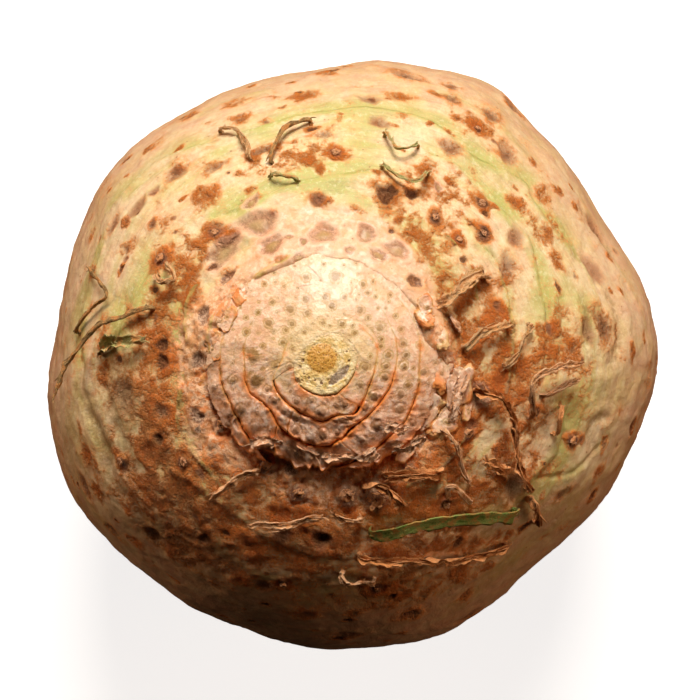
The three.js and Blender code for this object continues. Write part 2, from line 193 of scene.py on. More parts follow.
# Patches of each kind: across, down, radius in mm and strength.
PATCHES = {
    "rust": (
        (436, 222, 4.4, .9), (418, 240, 3.4, .5), (462, 292, 4.6, 1), (446, 306, 3.4, .9),
        (486, 318, 4.2, .8), (470, 340, 4.2, .7), (500, 340, 3.2, .4), (386, 208, 3.6, .5),
        (262, 160, 3.6, .6), (306, 158, 3.6, .7), (336, 152, 3, .5), (290, 150, 3, .4),
        (478, 126, 4, .6), (428, 170, 3.4, .6), (206, 196, 3, .6), (162, 222, 2.6, .5),
        (160, 250, 3.2, .8), (186, 270, 3.8, .9), (176, 288, 3, .8), (214, 236, 3.4, .6),
        (150, 330, 4.6, 1), (160, 352, 4.6, 1.1), (146, 372, 3.6, .9), (104, 366, 3.4, .9),
        (168, 398, 4.2, 1.4), (158, 420, 3.4, 1.6), (192, 412, 3.4, .8), (164, 440, 3, 1.3),
        (186, 455, 3.8, .9), (175, 490, 6.4, 1.2), (182, 520, 6.4, 1.2), (176, 548, 4.4, 1),
        (252, 544, 3.6, .8), (206, 500, 3, .7), (282, 516, 3.8, .9), (250, 470, 4, .6),
        (300, 480, 5, 1.1), (340, 484, 5, 1), (392, 478, 5, 1.1), (420, 462, 4.4, 1.8),
        (446, 506, 4.6, .9), (478, 500, 4, .6), (500, 470, 5, .7), (520, 456, 4, .5),
        (492, 384, 4.4, .6), (510, 402, 4, .5), (522, 424, 3.4, .4), (548, 356, 3.4, .4),
        (574, 352, 3.8, .5), (436, 352, 3, 1), (446, 384, 4.4, 1.4), (464, 408, 3.6, .7),
        (440, 430, 3.6, 1.1), (300, 300, 2, .3), (268, 268, 3.6, .5), (244, 290, 3, .5),
        (236, 372, 3, .5), (222, 400, 3.6, .7), (226, 440, 3.6, .6), (410, 530, 5, .5),
        (350, 520, 5.4, .5), (460, 573, 3.6, .6), (378, 590, 4.6, .6), (330, 545, 4, .5),
        (240, 578, 3, .5), (420, 592, 4, .4), (480, 560, 3.6, .4), (540, 410, 2.6, .6),
        (80, 350, 3, .5), (100, 330, 3, .5), (85, 455, 2.6, .6), (96, 492, 2.2, .5),
        (556, 232, 2.8, .5), (520, 206, 2.8, .5), (454, 200, 3, .3), (304, 96, 2.8, .5),
        (430, 370, 3, .9), (424, 392, 2.4, .7), (250, 352, 3, .4),
    ),
    "green": (
        (424, 262, 3, 1), (436, 280, 3.2, .9), (360, 115, 5, .5), (374, 124, 3.4, .7),
        (320, 176, 4, .8), (306, 181, 2.6, .8), (350, 214, 3, .6), (136, 292, 4.2, .7),
        (182, 330, 3.2, .7), (184, 372, 2.8, .5), (126, 312, 3.4, .5), (82, 330, 3.4, .5),
        (220, 150, 2.4, .5), (260, 132, 4, .4), (540, 290, 3.4, .6), (542, 330, 3.6, .6),
        (556, 235, 4, .5), (590, 400, 6, .5), (440, 470, 3.6, .6), (412, 500, 3.4, .5),
        (560, 470, 5, .3), (500, 565, 4, .5), (130, 440, 5, .4), (204, 470, 3.4, .5),
        (480, 150, 3.6, .4), (506, 212, 3.4, .4), (120, 190, 4, .4), (456, 400, 1.8, .4),
        (320, 592, 4.4, .3), (588, 320, 4, .5), (496, 368, 3, .5), (240, 300, 2, .3),
    ),
    # patches of olive grime, and of painted shade on the lower side and in the folds
    "grime_and_shade": (
        (590, 328, 3.4, .4), (604, 330, 2.8, .4), (516, 488, 3.2, .8), (380, 478, 3, .6),
        (300, 470, 3, .5), (340, 470, 3.2, .6), (116, 420, 4, .5), (100, 440, 3, .5),
        (110, 490, 4.6, .5), (156, 530, 3, .7), (210, 560, 4, .4), (282, 540, 3, .6),
        (322, 542, 3, .6), (430, 545, 8, .5), (480, 536, 6, .5), (120, 330, 3, .4),
        (180, 520, 9, .8), (225, 478, 5, .6), (132, 404, 6, .6), (150, 445, 7, .6),
        (262, 622, 9, .9), (200, 585, 7, .6), (116, 380, 4, .7), (170, 540, 4, .6),
        (540, 420, 3, .5), (552, 405, 2.4, .4),
    ),
    "fresh": (  # pale, smooth flesh round the top of the crown
        (330, 268, 8, 1.3), (300, 272, 6, 1.3), (366, 272, 6, 1.2), (396, 284, 5, 1.1),
        (272, 284, 5, 1.1), (312, 236, 5, .8), (350, 240, 5, .9), (250, 302, 4, .9),
        (284, 250, 4, .8), (414, 306, 4, .8), (330, 250, 6, .9), (424, 330, 4, .8),
        (380, 250, 4, .7), (262, 232, 4, .5), (296, 252, 4, .8),
    ),
    "raw": (  # rough, pinkish flesh of torn leaf bases round the rest of the crown
        (232, 318, 4, 1), (218, 338, 5, 1.1), (212, 362, 5, 1.2), (214, 388, 5, 1.2),
        (222, 410, 5, 1.2), (236, 430, 5, 1.1), (256, 448, 5, 1), (282, 458, 4, .8),
        (432, 336, 3, .9), (440, 356, 3, .7), (444, 380, 3, .7), (438, 402, 3, .7),
        (424, 422, 4, .8), (202, 326, 4, .7), (248, 296, 3.4, .9), (196, 360, 3.4, .6),
        (322, 488, 4, .6), (350, 492, 4, .7), (380, 492, 4, .7), (300, 492, 4, .5),
        (206, 436, 3.4, .5), (408, 444, 3.4, .7),
    ),
}
# Lumps of torn leaf base on the skin: across, down, half length and half width in mm, and height.
CHUNKS = (
    (425, 318, 1.8, 1, .7), (441, 338, 2, 1.2, .6), (439, 368, 3.8, 2.2, 1.4),
    (458, 392, 4.4, 2, 1.1), (424, 410, 3.4, 2.2, 1.7), (443, 425, 2.8, 1.8, 1.1),
    (396, 432, 2.6, 1.4, 1.6), (405, 452, 1.9, 1, 1.1), (366, 452, 2.5, 1.2, 1.2),
    (330, 458, 2.4, 1, 1.1), (292, 452, 2.4, 1.1, 1.1), (262, 440, 2.2, 1.2, 1.1),
    (228, 412, 2.6, 1.9, .8), (211, 380, 2.4, 2, .7), (214, 344, 2.3, 1.8, .7),
    (226, 318, 2, 1.5, .7), (247, 292, 2.2, 1.3, .6), (424, 306, 1.6, 1.2, 1),
    (466, 412, 1.5, .9, .8),
)

# ---- The cut crown -----------------------------------------------------------------------------
# Edges between the rings of leaf bases, from the heart outwards: bearing and mm from the middle.
RING_EDGES = (
    ((0, 5.9), (30, 6), (60, 5.7), (90, 5.2), (120, 4.7), (150, 4.5), (180, 4.8), (210, 5.4),
        (240, 5.6), (270, 5.5), (300, 5.5), (330, 5.7)),
    ((0, 9.2), (30, 9.4), (60, 8.7), (90, 8), (120, 7.4), (150, 7.1), (172, 7.1), (186, 7.9),
        (197, 8.9), (210, 9.2), (240, 9.2), (256, 9.5), (268, 10.1), (280, 9.5), (292, 9.5),
        (302, 10.2), (314, 9.4), (330, 9)),
    ((0, 12.8), (15, 12.9), (30, 13.4), (45, 13.9), (60, 13.6), (90, 13.5), (105, 13.9),
        (120, 13.5), (140, 13.9), (160, 14.3), (180, 13.8), (200, 13.8), (209, 13), (222, 12.6),
        (236, 13.4), (250, 14), (270, 14.2), (283, 13.2), (294, 12.2), (315, 11.9), (330, 12),
        (345, 12.4)),
    ((0, 16.6), (15, 17.2), (30, 17.4), (45, 17.3), (60, 17.1), (90, 17.3), (105, 17.6),
        (120, 16.9), (135, 17.6), (150, 17.7), (165, 18), (180, 17.9), (210, 17.8), (225, 18.2),
        (240, 18.4), (270, 18.6), (285, 18), (300, 17.5), (315, 17.2), (330, 17.2), (345, 17)),
    ((0, 20.2), (45, 20.3), (90, 20.4), (135, 20.2), (180, 20.5), (225, 20.4), (270, 19),
        (300, 20), (330, 20.4)),
)
# Leaf bases: which ring, first and last bearing, how far the cut stands off the crown's dome, and
# how ragged its outer edge is.
LEAF_BASES = (
    (1, -54, 193, .05, 0), (1, 193, 306, -.05, 0), (2, -63.5, 170.5, 0, 0),
    (2, 170.5, 238, -.15, .1), (2, 238, 296.5, -.45, .4), (3, -73, 94.5, 0, .1),
    (3, 94.5, 170, .05, .1), (3, 170, 238, -.2, .3), (4, -78, 42, -.15, .9), (4, 42, 124, 0, .2),
    (4, 124, 178, 0, .3), (4, 178, 236, -.4, .8), (3, 238, 287, -1, 1),
)
# Fine lines in the cut: bearing and mm from the middle.
CROWN_LINES = (
    ((126, 9), (140, 9.6), (150, 9.9), (165, 9.5), (180, 9.8), (190, 9.4)),
    ((-20, 9.6), (0, 10), (30, 10.2), (50, 9.6), (66, 9)),
    ((62, 15.4), (80, 15.8), (100, 15.5), (118, 15.2)),
    ((225, 11.2), (240, 11), (252, 10.8), (262, 10.9)),
    ((128, 15.6), (150, 16.2), (165, 15.8), (180, 15.6), (196, 15.9)),
    ((-30, 14.6), (-12, 14.9), (8, 14.4), (26, 15.1)),
)
# Cut strands that show in the leaf bases: across, down and radius in picture pixels.
STRANDS = (
    (306, 299, 6), (325, 297, 5), (344, 297, 4), (363, 284, 4), (290, 309, 6), (307, 313, 4),
    (332, 306, 5), (360, 310, 5), (368, 318, 3), (269, 323, 5), (292, 324, 4), (286, 330, 3),
    (323, 323, 3), (342, 324, 4), (313, 323, 2), (305, 332, 3), (330, 326, 2), (355, 333, 3),
    (283, 342, 4), (263, 346, 3), (293, 349, 3), (380, 328, 6), (381, 346, 3), (381, 339, 3),
    (372, 330, 2), (388, 355, 5), (365, 367, 5), (385, 377, 5), (360, 385, 4), (374, 396, 6),
    (365, 406, 6), (386, 366, 4), (404, 366, 5), (406, 355, 4), (403, 343, 4), (401, 329, 3),
    (408, 385, 4), (401, 394, 6), (400, 409, 7), (378, 426, 7), (349, 432, 6), (323, 434, 7),
    (296, 430, 6), (322, 411, 7), (337, 406, 4), (345, 404, 5), (284, 410, 5), (274, 400, 5),
    (297, 401, 5), (296, 416, 5), (267, 389, 4), (256, 380, 9), (253, 355, 10), (276, 365, 4),
    (290, 366, 4), (254, 428, 6), (306, 277, 5), (336, 276, 7), (240, 410, 6), (232, 380, 5),
    (310, 446, 5), (335, 446, 5), (362, 440, 5), (420, 345, 4), (424, 372, 5), (418, 318, 4),
    (389, 301, 2), (368, 293, 3), (272, 302, 3), (258, 312, 3), (246, 332, 4), (312, 400, 4),
)

# ---- Rootlets and flaps ------------------------------------------------------------------------
# Name, thickness and width in mm, finish, and the route: bearing, polar angle, height over the skin.
ROOTLETS = (
    ("long_twig_left", 1.2, 1.2, "dark", ((167, 45, 1.2), (170, 49, 1.8), (172, 52, 2.4),
        (174, 55, 3), (181, 61, 3.8), (184, 62, 4.6), (188, 63, 5.4))),
    ("thin_dark_left", .9, .9, "dark", ((162, 66, .9), (166, 57, 1), (170, 61, 1.1), (175, 66, 1))),
    ("leaf_curl_left", .8, 2.6, "green", ((179, 56, 1), (177, 52, 1.8), (177, 48, 2.8),
        (176, 44, 1.6))),
    ("loop_left", 1, 1, "straw", ((154, 45, 1), (155, 42, 2.3), (157, 40, 2.9), (159, 43, 2.3),
        (158, 46, 1))),
    ("faint_upper_left", .8, .8, "straw", ((120, 64, .9), (117, 61, 1.2), (116, 55, 1.3),
        (117, 52, .9))),
    ("forked_brown_upper", 1, 1, "dark", ((100, 58, 1.1), (105, 56, 1.8), (108, 53, 2.2),
        (112, 49, 1))),
    ("forked_green_upper", .9, .9, "green", ((114, 45, .9), (111, 43, 1.8), (107, 42, .9))),
    ("curl_right_upper", 1, 1, "green", ((80, 45, 1), (76, 43, 1.5), (71, 42, 2), (68, 43, 2.6),
        (67, 47, 1))),
    ("curl_top_right", .8, .8, "green", ((81, 54, 1), (79, 51, 1.6), (77, 49, 2.1), (74, 50, 2.1),
        (72, 53, 1))),
    ("folded_strip_right", .9, 2, "straw", ((30, 23, 1), (29, 25, 2.6), (30, 28, 3), (32, 33, 2.4),
        (31, 37, 1))),
    ("curl_right", 1.2, 1.2, "straw", ((3, 27, 1.2), (9, 30, 2.4), (10, 34, 2.2), (11, 38, 1.2))),
    ("bent_right", 1, 1, "straw", ((9, 44, 1), (6, 41, 1.8), (0, 39, 1.6), (356, 37, 1))),
    ("tan_right", 1, 1, "tan", ((358, 54, 3.3), (357, 49, 3.3), (354, 43, 3.5), (351, 41, 3.8),
        (347, 42, 3.2), (341, 46, .8))),
    ("straight_right", .9, .9, "tan", ((354, 55, 2.2), (352, 52, 1.6), (348, 48, .9))),
    ("hook_right", .9, .9, "rust", ((346, 53, .9), (343, 52, 2), (339, 54, .9))),
    ("long_right", 1.2, 1.2, "rust", ((344, 31, 1.2), (344, 35, 2.4), (341, 38, 2.4), (337, 41, 2),
        (331, 44, 1.6), (327, 47, 1.8), (324, 51, 2), (323, 55, 1.2))),
    ("long_right_tail", 1.2, 1.2, "rust", ((321, 58, 1.2), (320, 60, 1.7), (318, 65, 1.2))),
    ("thin_right", .8, .8, "tan", ((321, 28, .9), (320, 30, 2.1), (318, 33, 1.8), (314, 37, 1.2),
        (313, 41, .9))),
    ("ring_right", .9, .9, "tan", ((305, 40, .9), (306, 37, 2), (308, 38, 2.1), (309, 45, .9))),
    ("orange_under", .9, 1.8, "rust", ((287, 29, 1), (294, 29, 2.4), (301, 31, 2.2), (306, 34, 1))),
    ("curl_under", 1.1, 1.1, "rust", ((277, 30, 1.1), (282, 29, 2.7), (287, 32, 2.5),
        (289, 36, 1.1))),
    ("stub_under", 1.6, 1.6, "rust", ((323, 46, 1.3), (323, 42, 3), (322, 38, 3.4))),
    ("green_strip", .7, 2.3, "leaf", ((277, 41, 1), (284, 41, 1.7), (293, 42, 1.6), (305, 47, 1.6),
        (315, 57, 1))),
    ("fibre_under_strip", 1.1, 1.1, "rust", ((273, 46, 1.1), (279, 47, 1.6), (285, 49, 1.3),
        (291, 52, 1.1), (297, 56, 1.1), (303, 60, 1.1), (309, 64, 1.1))),
    ("bits_under", .9, .9, "tan", ((268, 51, 1), (270, 52, 1.6), (273, 52, 1.4), (276, 53, 1))),
    ("woody_left", 1.3, 1.3, "tan", ((226, 42, 3.1), (227, 38, 2.3), (229, 34, 1.5),
        (231, 33, 1.2))),
    ("pale_fibre", 1, 1, "tan", ((239, 42, 2.7), (244, 41, 1.4), (250, 40, .8), (255, 37, 1.6),
        (260, 35, 2.6))),
    ("pale_fibre_right", .9, .9, "tan", ((264, 34, 3), (269, 36, 2.1), (273, 37, 1))),
)
# Papery flaps: name, width, and the route.
FLAPS = (
    ("dry_flap_1", 2.2, ((222, 28, 4.4), (226, 25, 5.2), (231, 24, 5))),
    ("dry_flap_2", 1.6, ((236, 23, 4.2), (243, 23, 4.6), (251, 23, 4.4))),
    ("dry_flap_3", 1.6, ((256, 23, 4.6), (262, 22, 5.2), (269, 22, 4.5))),
    ("dry_flap_4", 1.4, ((273, 22, 4.8), (278, 22, 5.2), (285, 21, 5))),
    ("dry_flap_5", 1.6, ((295, 17, 6.3), (302, 18, 6.8), (306, 19, 6.1))),
    ("dry_flap_6", 1.8, ((295, 22, 5), (301, 23, 5.4), (307, 23, 5.4), (312, 24, 5))),
    ("dry_flap_7", 1.6, ((22, 25, .8), (17, 25, 1.3), (11, 26, .8))),
    ("dry_flap_8", 1.8, ((351, 27, .8), (341, 26, 1.5), (332, 27, 1.5), (326, 28, .8))),
)


# ---- Small helpers -----------------------------------------------------------------------------
def heading(bearing, polar):
    """The unit direction of a bearing and a polar angle, in degrees."""
    turn = math.radians(bearing)
    fall = math.radians(polar)
    side = math.sin(fall)
    return Vector((side * math.cos(turn), side * math.sin(turn), math.cos(fall)))


def ray_through(across, down):
    """The camera's ray through a spot of the picture."""
    half = PICTURE / 2
    return Vector((across - half, half - down, -FOCAL)).normalized()


def plain(value):
    """A lone number as a plain one, so that it can be used with vectors, and an array as it is."""
    return value if np.ndim(value) else float(value)


def fade(value, low, high):
    """0 at low, 1 at high, smooth between, for numbers and arrays. Low may be the larger."""
    share = np.clip((value - low) / (high - low), 0, 1)
    return plain(share * share * (3 - 2 * share))


def ring(value, middle, width):
    """1 at the middle, falling off within about the width to either side."""
    return plain(np.exp(-((value - middle) / width) ** 2))


def curve_through(points, steps):
    """A smooth run of points through the given ones, with so many steps between two of them."""
    ends = [2 * points[0] - points[1], *points, 2 * points[-1] - points[-2]]
    run = []
    for before, first, second, after in zip(ends, ends[1:], ends[2:], ends[3:]):
        for step in range(steps):
            t = step / steps
            run.append(0.5 * (2 * first + (second - before) * t
                              + (2 * before - 5 * first + 4 * second - after) * t ** 2
                              + (3 * first - 3 * second + after - before) * t ** 3))
    return [*run, points[-1]]


def frame_along(run, number):
    """At a point of a run: the way ahead, the way out of the root, and the way beside both."""
    ahead = (run[min(number + 1, len(run) - 1)] - run[max(number - 1, 0)]).normalized()
    outward = run[number] - CORE
    outward = (outward - outward.dot(ahead) * ahead).normalized()
    return ahead, outward, ahead.cross(outward)


def lumps(places, size, seed, octaves=3):
    """Soft noise of about -1 to 1 at each place, in lumps of the given size in mm."""
    shift = Vector((seed * 7.3, seed * 3.1, seed * 5.7))
    return np.array([noise.fractal(Vector(place) / size + shift, 1.0, 2.0, octaves)
                     for place in places])


def ridges(soft):
    """Soft noise made into sharp crests: 1 on a crest, below 0 in a hollow."""
    return 1 - 2.4 * abs(soft)


def random_vector(dice, low, high):
    return Vector([dice.uniform(low, high) for _ in range(3)])


def tree_of(places):
    """A search tree of places, each under its number."""
    tree = KDTree(len(places))
    for number, place in enumerate(places):
        tree.insert(place, number)
    tree.balance()
    return tree


# ---- The skin's surface, in millimetres --------------------------------------------------------
class Surface:
    """The surface of the CAD root or of the finished skin: places on it are found along rays."""

    def __init__(self, made):
        corners = [vert.co / MM for vert in made.data.vertices]
        faces = [tuple(face.vertices) for face in made.data.polygons]
        self.tree = BVHTree.FromPolygons(corners, faces)

    def towards(self, direction):
        return self.tree.ray_cast(CORE, direction)[0]

    def seen_at(self, across, down):
        """The place seen at a spot of the picture, or the nearest one if nothing is seen there."""
        ray = ray_through(across, down)
        seen = self.tree.ray_cast(EYE, ray)[0]
        return seen or self.tree.find_nearest(EYE + ray * ((CORE.z - EYE.z) / ray.z))[0]

    def over(self, bearing, polar, height):
        direction = heading(bearing, polar)
        return self.towards(direction) + height * direction


# ---- Meshes ------------------------------------------------------------------------------------
def number_layers(work, names):
    """A bmesh's layers of numbers that a material reads, made where they are missing."""
    layers = work.verts.layers.float
    return [layers.get(name) or layers.new(name) for name in names]


def vector_layer(work, name):
    layers = work.verts.layers.float_vector
    return layers.get(name) or layers.new(name)


def finish_piece(work, name, material, nodes):
    """Turns a bmesh in mm into a finished piece that rides on the root."""
    bmesh.ops.scale(work, vec=Vector((MM, MM, MM)), verts=work.verts)
    bmesh.ops.recalc_face_normals(work, faces=work.faces)
    for face in work.faces:
        face.smooth = True
    mesh = bpy.data.meshes.new(name)
    work.to_mesh(mesh)
    work.free()
    mesh.materials.append(material)
    piece = add_object(name, mesh)
    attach(piece, "root")
    if nodes:
        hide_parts(*nodes)


def add_object(name, data):
    made = bpy.data.objects.new(name, data)
    bpy.context.scene.collection.objects.link(made)
    return made


def close_below(work, floor):
    """Drops the open edge of a sheet to a level and closes it underneath."""
    rim = [edge for edge in work.edges if edge.is_boundary]
    made = bmesh.ops.extrude_edge_only(work, edges=rim)["geom"]
    for vert in (item for item in made if isinstance(item, bmesh.types.BMVert)):
        vert.co.z = floor
    for edge in rim:
        edge.smooth = False
    bottom = [edge for edge in made if isinstance(edge, bmesh.types.BMEdge) and edge.is_boundary]
    bmesh.ops.holes_fill(work, edges=bottom)


# ---- Materials ---------------------------------------------------------------------------------
class Wire:
    """An output of a shader node. Arithmetic on it adds Math nodes."""

    def __init__(self, finish, socket):
        self.finish = finish
        self.socket = socket

    def math(self, operation, first, second):
        return self.finish.node("ShaderNodeMath", {"operation": operation}, {0: first, 1: second})

    def __add__(self, other):
        return self.math("ADD", self, other)

    def __radd__(self, other):
        return self.math("ADD", other, self)

    def __sub__(self, other):
        return self.math("SUBTRACT", self, other)

    def __rsub__(self, other):
        return self.math("SUBTRACT", other, self)

    def __mul__(self, other):
        return self.math("MULTIPLY", self, other)

    def __rmul__(self, other):
        return self.math("MULTIPLY", other, self)

    def fade(self, low, high):
        """0 at low, 1 at high, smooth between."""
        return self.finish.node("ShaderNodeMapRange", {"interpolation_type": "SMOOTHSTEP"},
                                {"Value": self, "From Min": low, "From Max": high})


class Finish:
    """A material with one Principled shader, built up by small methods."""

    def __init__(self, name, **constants):
        self.material = bpy.data.materials.new(name)
        self.material.use_nodes = True
        self.tree = self.material.node_tree
        self.shader = next(node for node in self.tree.nodes if node.type == "BSDF_PRINCIPLED")
        self.set(constants)

    def set(self, values):
        """Feeds sockets of the shader, each named with _ for a space."""
        for socket, value in values.items():
            self.feed(self.shader.inputs[socket.replace("_", " ")], value)

    def node(self, kind, settings=None, inputs=None, output=0):
        made = self.tree.nodes.new(kind)
        for key, value in (settings or {}).items():
            setattr(made, key, value)
        for key, value in (inputs or {}).items():
            self.feed(made.inputs[key], value)
        return Wire(self, made.outputs[output])

    def feed(self, socket, value):
        if isinstance(value, Wire):
            self.tree.links.new(value.socket, socket)
        else:
            socket.default_value = value

    def mark(self, name, output="Fac"):
        return self.node("ShaderNodeAttribute", {"attribute_name": name}, output=output)

    def place(self):
        return self.node("ShaderNodeTexCoord", output="Object")

    def stretched(self, vector, scale):
        return self.node("ShaderNodeMapping", inputs={"Vector": vector, "Scale": scale})

    def noise(self, size, vector=None, detail=4, roughness=0.55):
        """Noise of about 0 to 1, with features of the given size in mm."""
        inputs = {"Vector": vector or self.place(), "Scale": 1 / (size * MM), "Detail": detail,
                  "Roughness": roughness}
        return self.node("ShaderNodeTexNoise", inputs=inputs, output="Fac")

    def cells(self, size):
        """The distance from the middles of scattered cells, with cells of the given size in mm."""
        inputs = {"Vector": self.place(), "Scale": 1 / (size * MM)}
        return self.node("ShaderNodeTexVoronoi", inputs=inputs, output="Distance")

    def mix(self, share, first, second):
        settings = {"data_type": "RGBA"}
        inputs = {0: share, 6: self.colour(first), 7: self.colour(second)}
        return self.node("ShaderNodeMix", settings, inputs, output=2)

    def layers(self, colour, *layers):
        """A colour with others laid over it in turn, each given as a share and a colour."""
        for share, over in layers:
            colour = self.mix(share, colour, over)
        return colour

    @staticmethod
    def colour(value):
        return value if isinstance(value, Wire) else (*value[:3], 1.0)

    def finished(self, colour, roughness, height, depth, **others):
        """Connects the varying values: base colour, roughness and a bump of so many mm."""
        bump = self.node("ShaderNodeBump", inputs={"Height": height, "Distance": depth * MM,
                                                   "Strength": 1.0})
        self.set({"Base_Color": self.colour(colour), "Roughness": roughness, "Normal": bump})
        self.set(others)
        return self.material


# ---- Sizes and colours that a user may change --------------------------------------------------
def length(name, description, millimetres):
    return bpy.props.FloatProperty(name=name, description=description, default=millimetres * MM,
                                   min=0, unit="LENGTH", precision=5)


def colour(name, description, value):
    return bpy.props.FloatVectorProperty(name=name, description=description, default=value, size=3,
                                         min=0, max=1, subtype="COLOR")


class CeleriacSizes(bpy.types.PropertyGroup):
    lump_height: length("Lump height", "How far the skin's broad lumps rise and sink", 0.5)
    wrinkle_depth: length("Wrinkle depth", "Depth of the creases that run round the root", 0.3)
    dome_height: length("Dome height", "Height of the cut crown over the disc it stands on", 8.9)
    strand_height: length("Strand height", "How far the cut strands stand out", 0.45)
    floor_size: length("Floor size", "Side of the floor that the root stands on", 8000)


class CeleriacColours(bpy.types.PropertyGroup):
    cream: colour("Cream", "Light skin", (0.83, 0.66, 0.4))
    straw: colour("Straw", "Yellower skin", (0.78, 0.59, 0.27))
    pink: colour("Pink", "Rosy patches of the light skin", (0.8, 0.48, 0.32))
    green: colour("Green", "Skin that saw the light", (0.47, 0.49, 0.125))
    moss: colour("Moss", "Fine green lines along the old leaf rings", (0.3, 0.29, 0.05))
    # browner skin round the rust, also laid on as painted shade on the flanks and the side away from
    # the key light
    blush_and_shade: colour("Blush", "Browner skin on the flanks", (0.62, 0.31, 0.18))
    amber: colour("Amber", "Faint stains round the rusty scars", (0.84, 0.36, 0.11))
    rust: colour("Rust", "Rusty scars and patches", (0.84, 0.22, 0.022))
    deep_rust: colour("Deep rust", "The middle of the rusty patches", (0.3, 0.062, 0.009))
    umber: colour("Umber", "Dark, corky scars", (0.12, 0.052, 0.028))
    mauve: colour("Mauve", "Greyer scars", (0.37, 0.165, 0.085))
    tan: colour("Tan", "Wood of the cut side roots", (0.5, 0.26, 0.13))
    # olive grime, also laid on as painted shade in the creases and on the lower side
    grime_and_shade: colour("Grime", "Olive dirt in the creases", (0.19, 0.125, 0.045))
    soil: colour("Soil", "Soil left on the underside", (0.13, 0.075, 0.04))
    flesh: colour("Flesh", "Fresh cut of the leaf bases", (0.8, 0.48, 0.3))
    aged_flesh: colour("Aged flesh", "Browned cut of the leaf bases", (0.66, 0.31, 0.155))
    gold: colour("Gold", "The heart's bud", (0.6, 0.27, 0.03))
    olive: colour("Olive", "The heart's rim and the strands", (0.3, 0.155, 0.025))


# ---- The skin ----------------------------------------------------------------------------------
SIDE_ROOTS = (  # where thick side roots were cut off: bearing, polar angle and radius in mm
    (8, 116, 4.2), (47, 124, 5), (83, 112, 3.6), (118, 127, 4.8), (156, 114, 4), (188, 130, 5.2),
    (226, 117, 4.2), (262, 126, 4.8), (297, 112, 3.6), (331, 129, 5), (20, 143, 3.6), (98, 146, 4),
    (172, 148, 3.6), (243, 145, 4), (306, 147, 3.6),
)
FLECKS = 150  # small spots between the larger ones on the seen side
HIDDEN_SPOTS = 190
SMOOTH_BELLY = 100  # polar angle in degrees down to which no stub stands on the flank
UPPER_RUST = (300, 0.7)  # the picture row above which rust is weaker, and how strong it is there
# Marks are 0 where there is none of a kind. A spot's own one, such as rust_out, is 1 on its
# outline.
MARKS = ("rust", "fresh", "raw", "green", "line", "seam", "grime_and_shade", "flank_and_shade", "soil", "own")
FAR_OUT = 3.0  # how far out a point is, in radii, where no spot is near
PATCH_LIMIT = 1.3  # the strongest that overlapping patches of a kind become
DOME_FALL = 0.0165  # mm of drop per square mm of distance from the crown's middle
FILLET_RISE = 9.2  # mm over the skin that the cut dome's middle is, for the skin that runs up to it
FILLET_REACH = 19.0  # mm from the crown's middle, inside which that skin drops away under the dome
# Pale areas of the cut flesh: offset from the crown's middle, near and far edge in mm, share,
# colour.
PALE_AREAS = (
    ((0, 0), 5.5, 12.0, 0.6, (0.72, 0.54, 0.23)),
    ((2.5, 20.5), 2.0, 10.0, 0.3, (0.92, 0.76, 0.56)),
    ((9.0, 9.0), 1.0, 5.0, 0.2, (0.92, 0.76, 0.58)),
)
SKIN_DETAIL = 6  # subdivisions of the ball that the skin starts from
LINE_STEPS = 12  # steps between two spots of a line on the skin
FINER_BAND = (17, 84)  # polar angles between which the skin has finer triangles
SPOT_RELIEF = {  # what each kind adds to the skin in radii: height, and where a fade or ring runs
    "rust": ((-0.12, fade, 1, 0.1), (0.05, ring, 1.2, 0.4)),
    "dark": ((-0.18, fade, 1.1, 0.3), (0.07, ring, 1.2, 0.3)),
    "pit": ((-0.6, fade, 1.1, 0.3), (0.12, ring, 1.25, 0.2)),
    "plate": ((0.14, ring, 1.25, 0.3), (-0.16, fade, 1.1, 0.7), (0.1, fade, 0.6, 0.2)),
    "stub": ((0.3, fade, 1.3, 0.5), (-0.2, ring, 1.5, 0.3)),
    "root": ((0.1, fade, 1.5, 0.9), (-0.1, fade, 0.95, 0.8), (0.05, ring, 0.3, 0.15)),
}
RAW_SHALLOWER = 0.25  # how much of a radius a pit is shallower in torn flesh


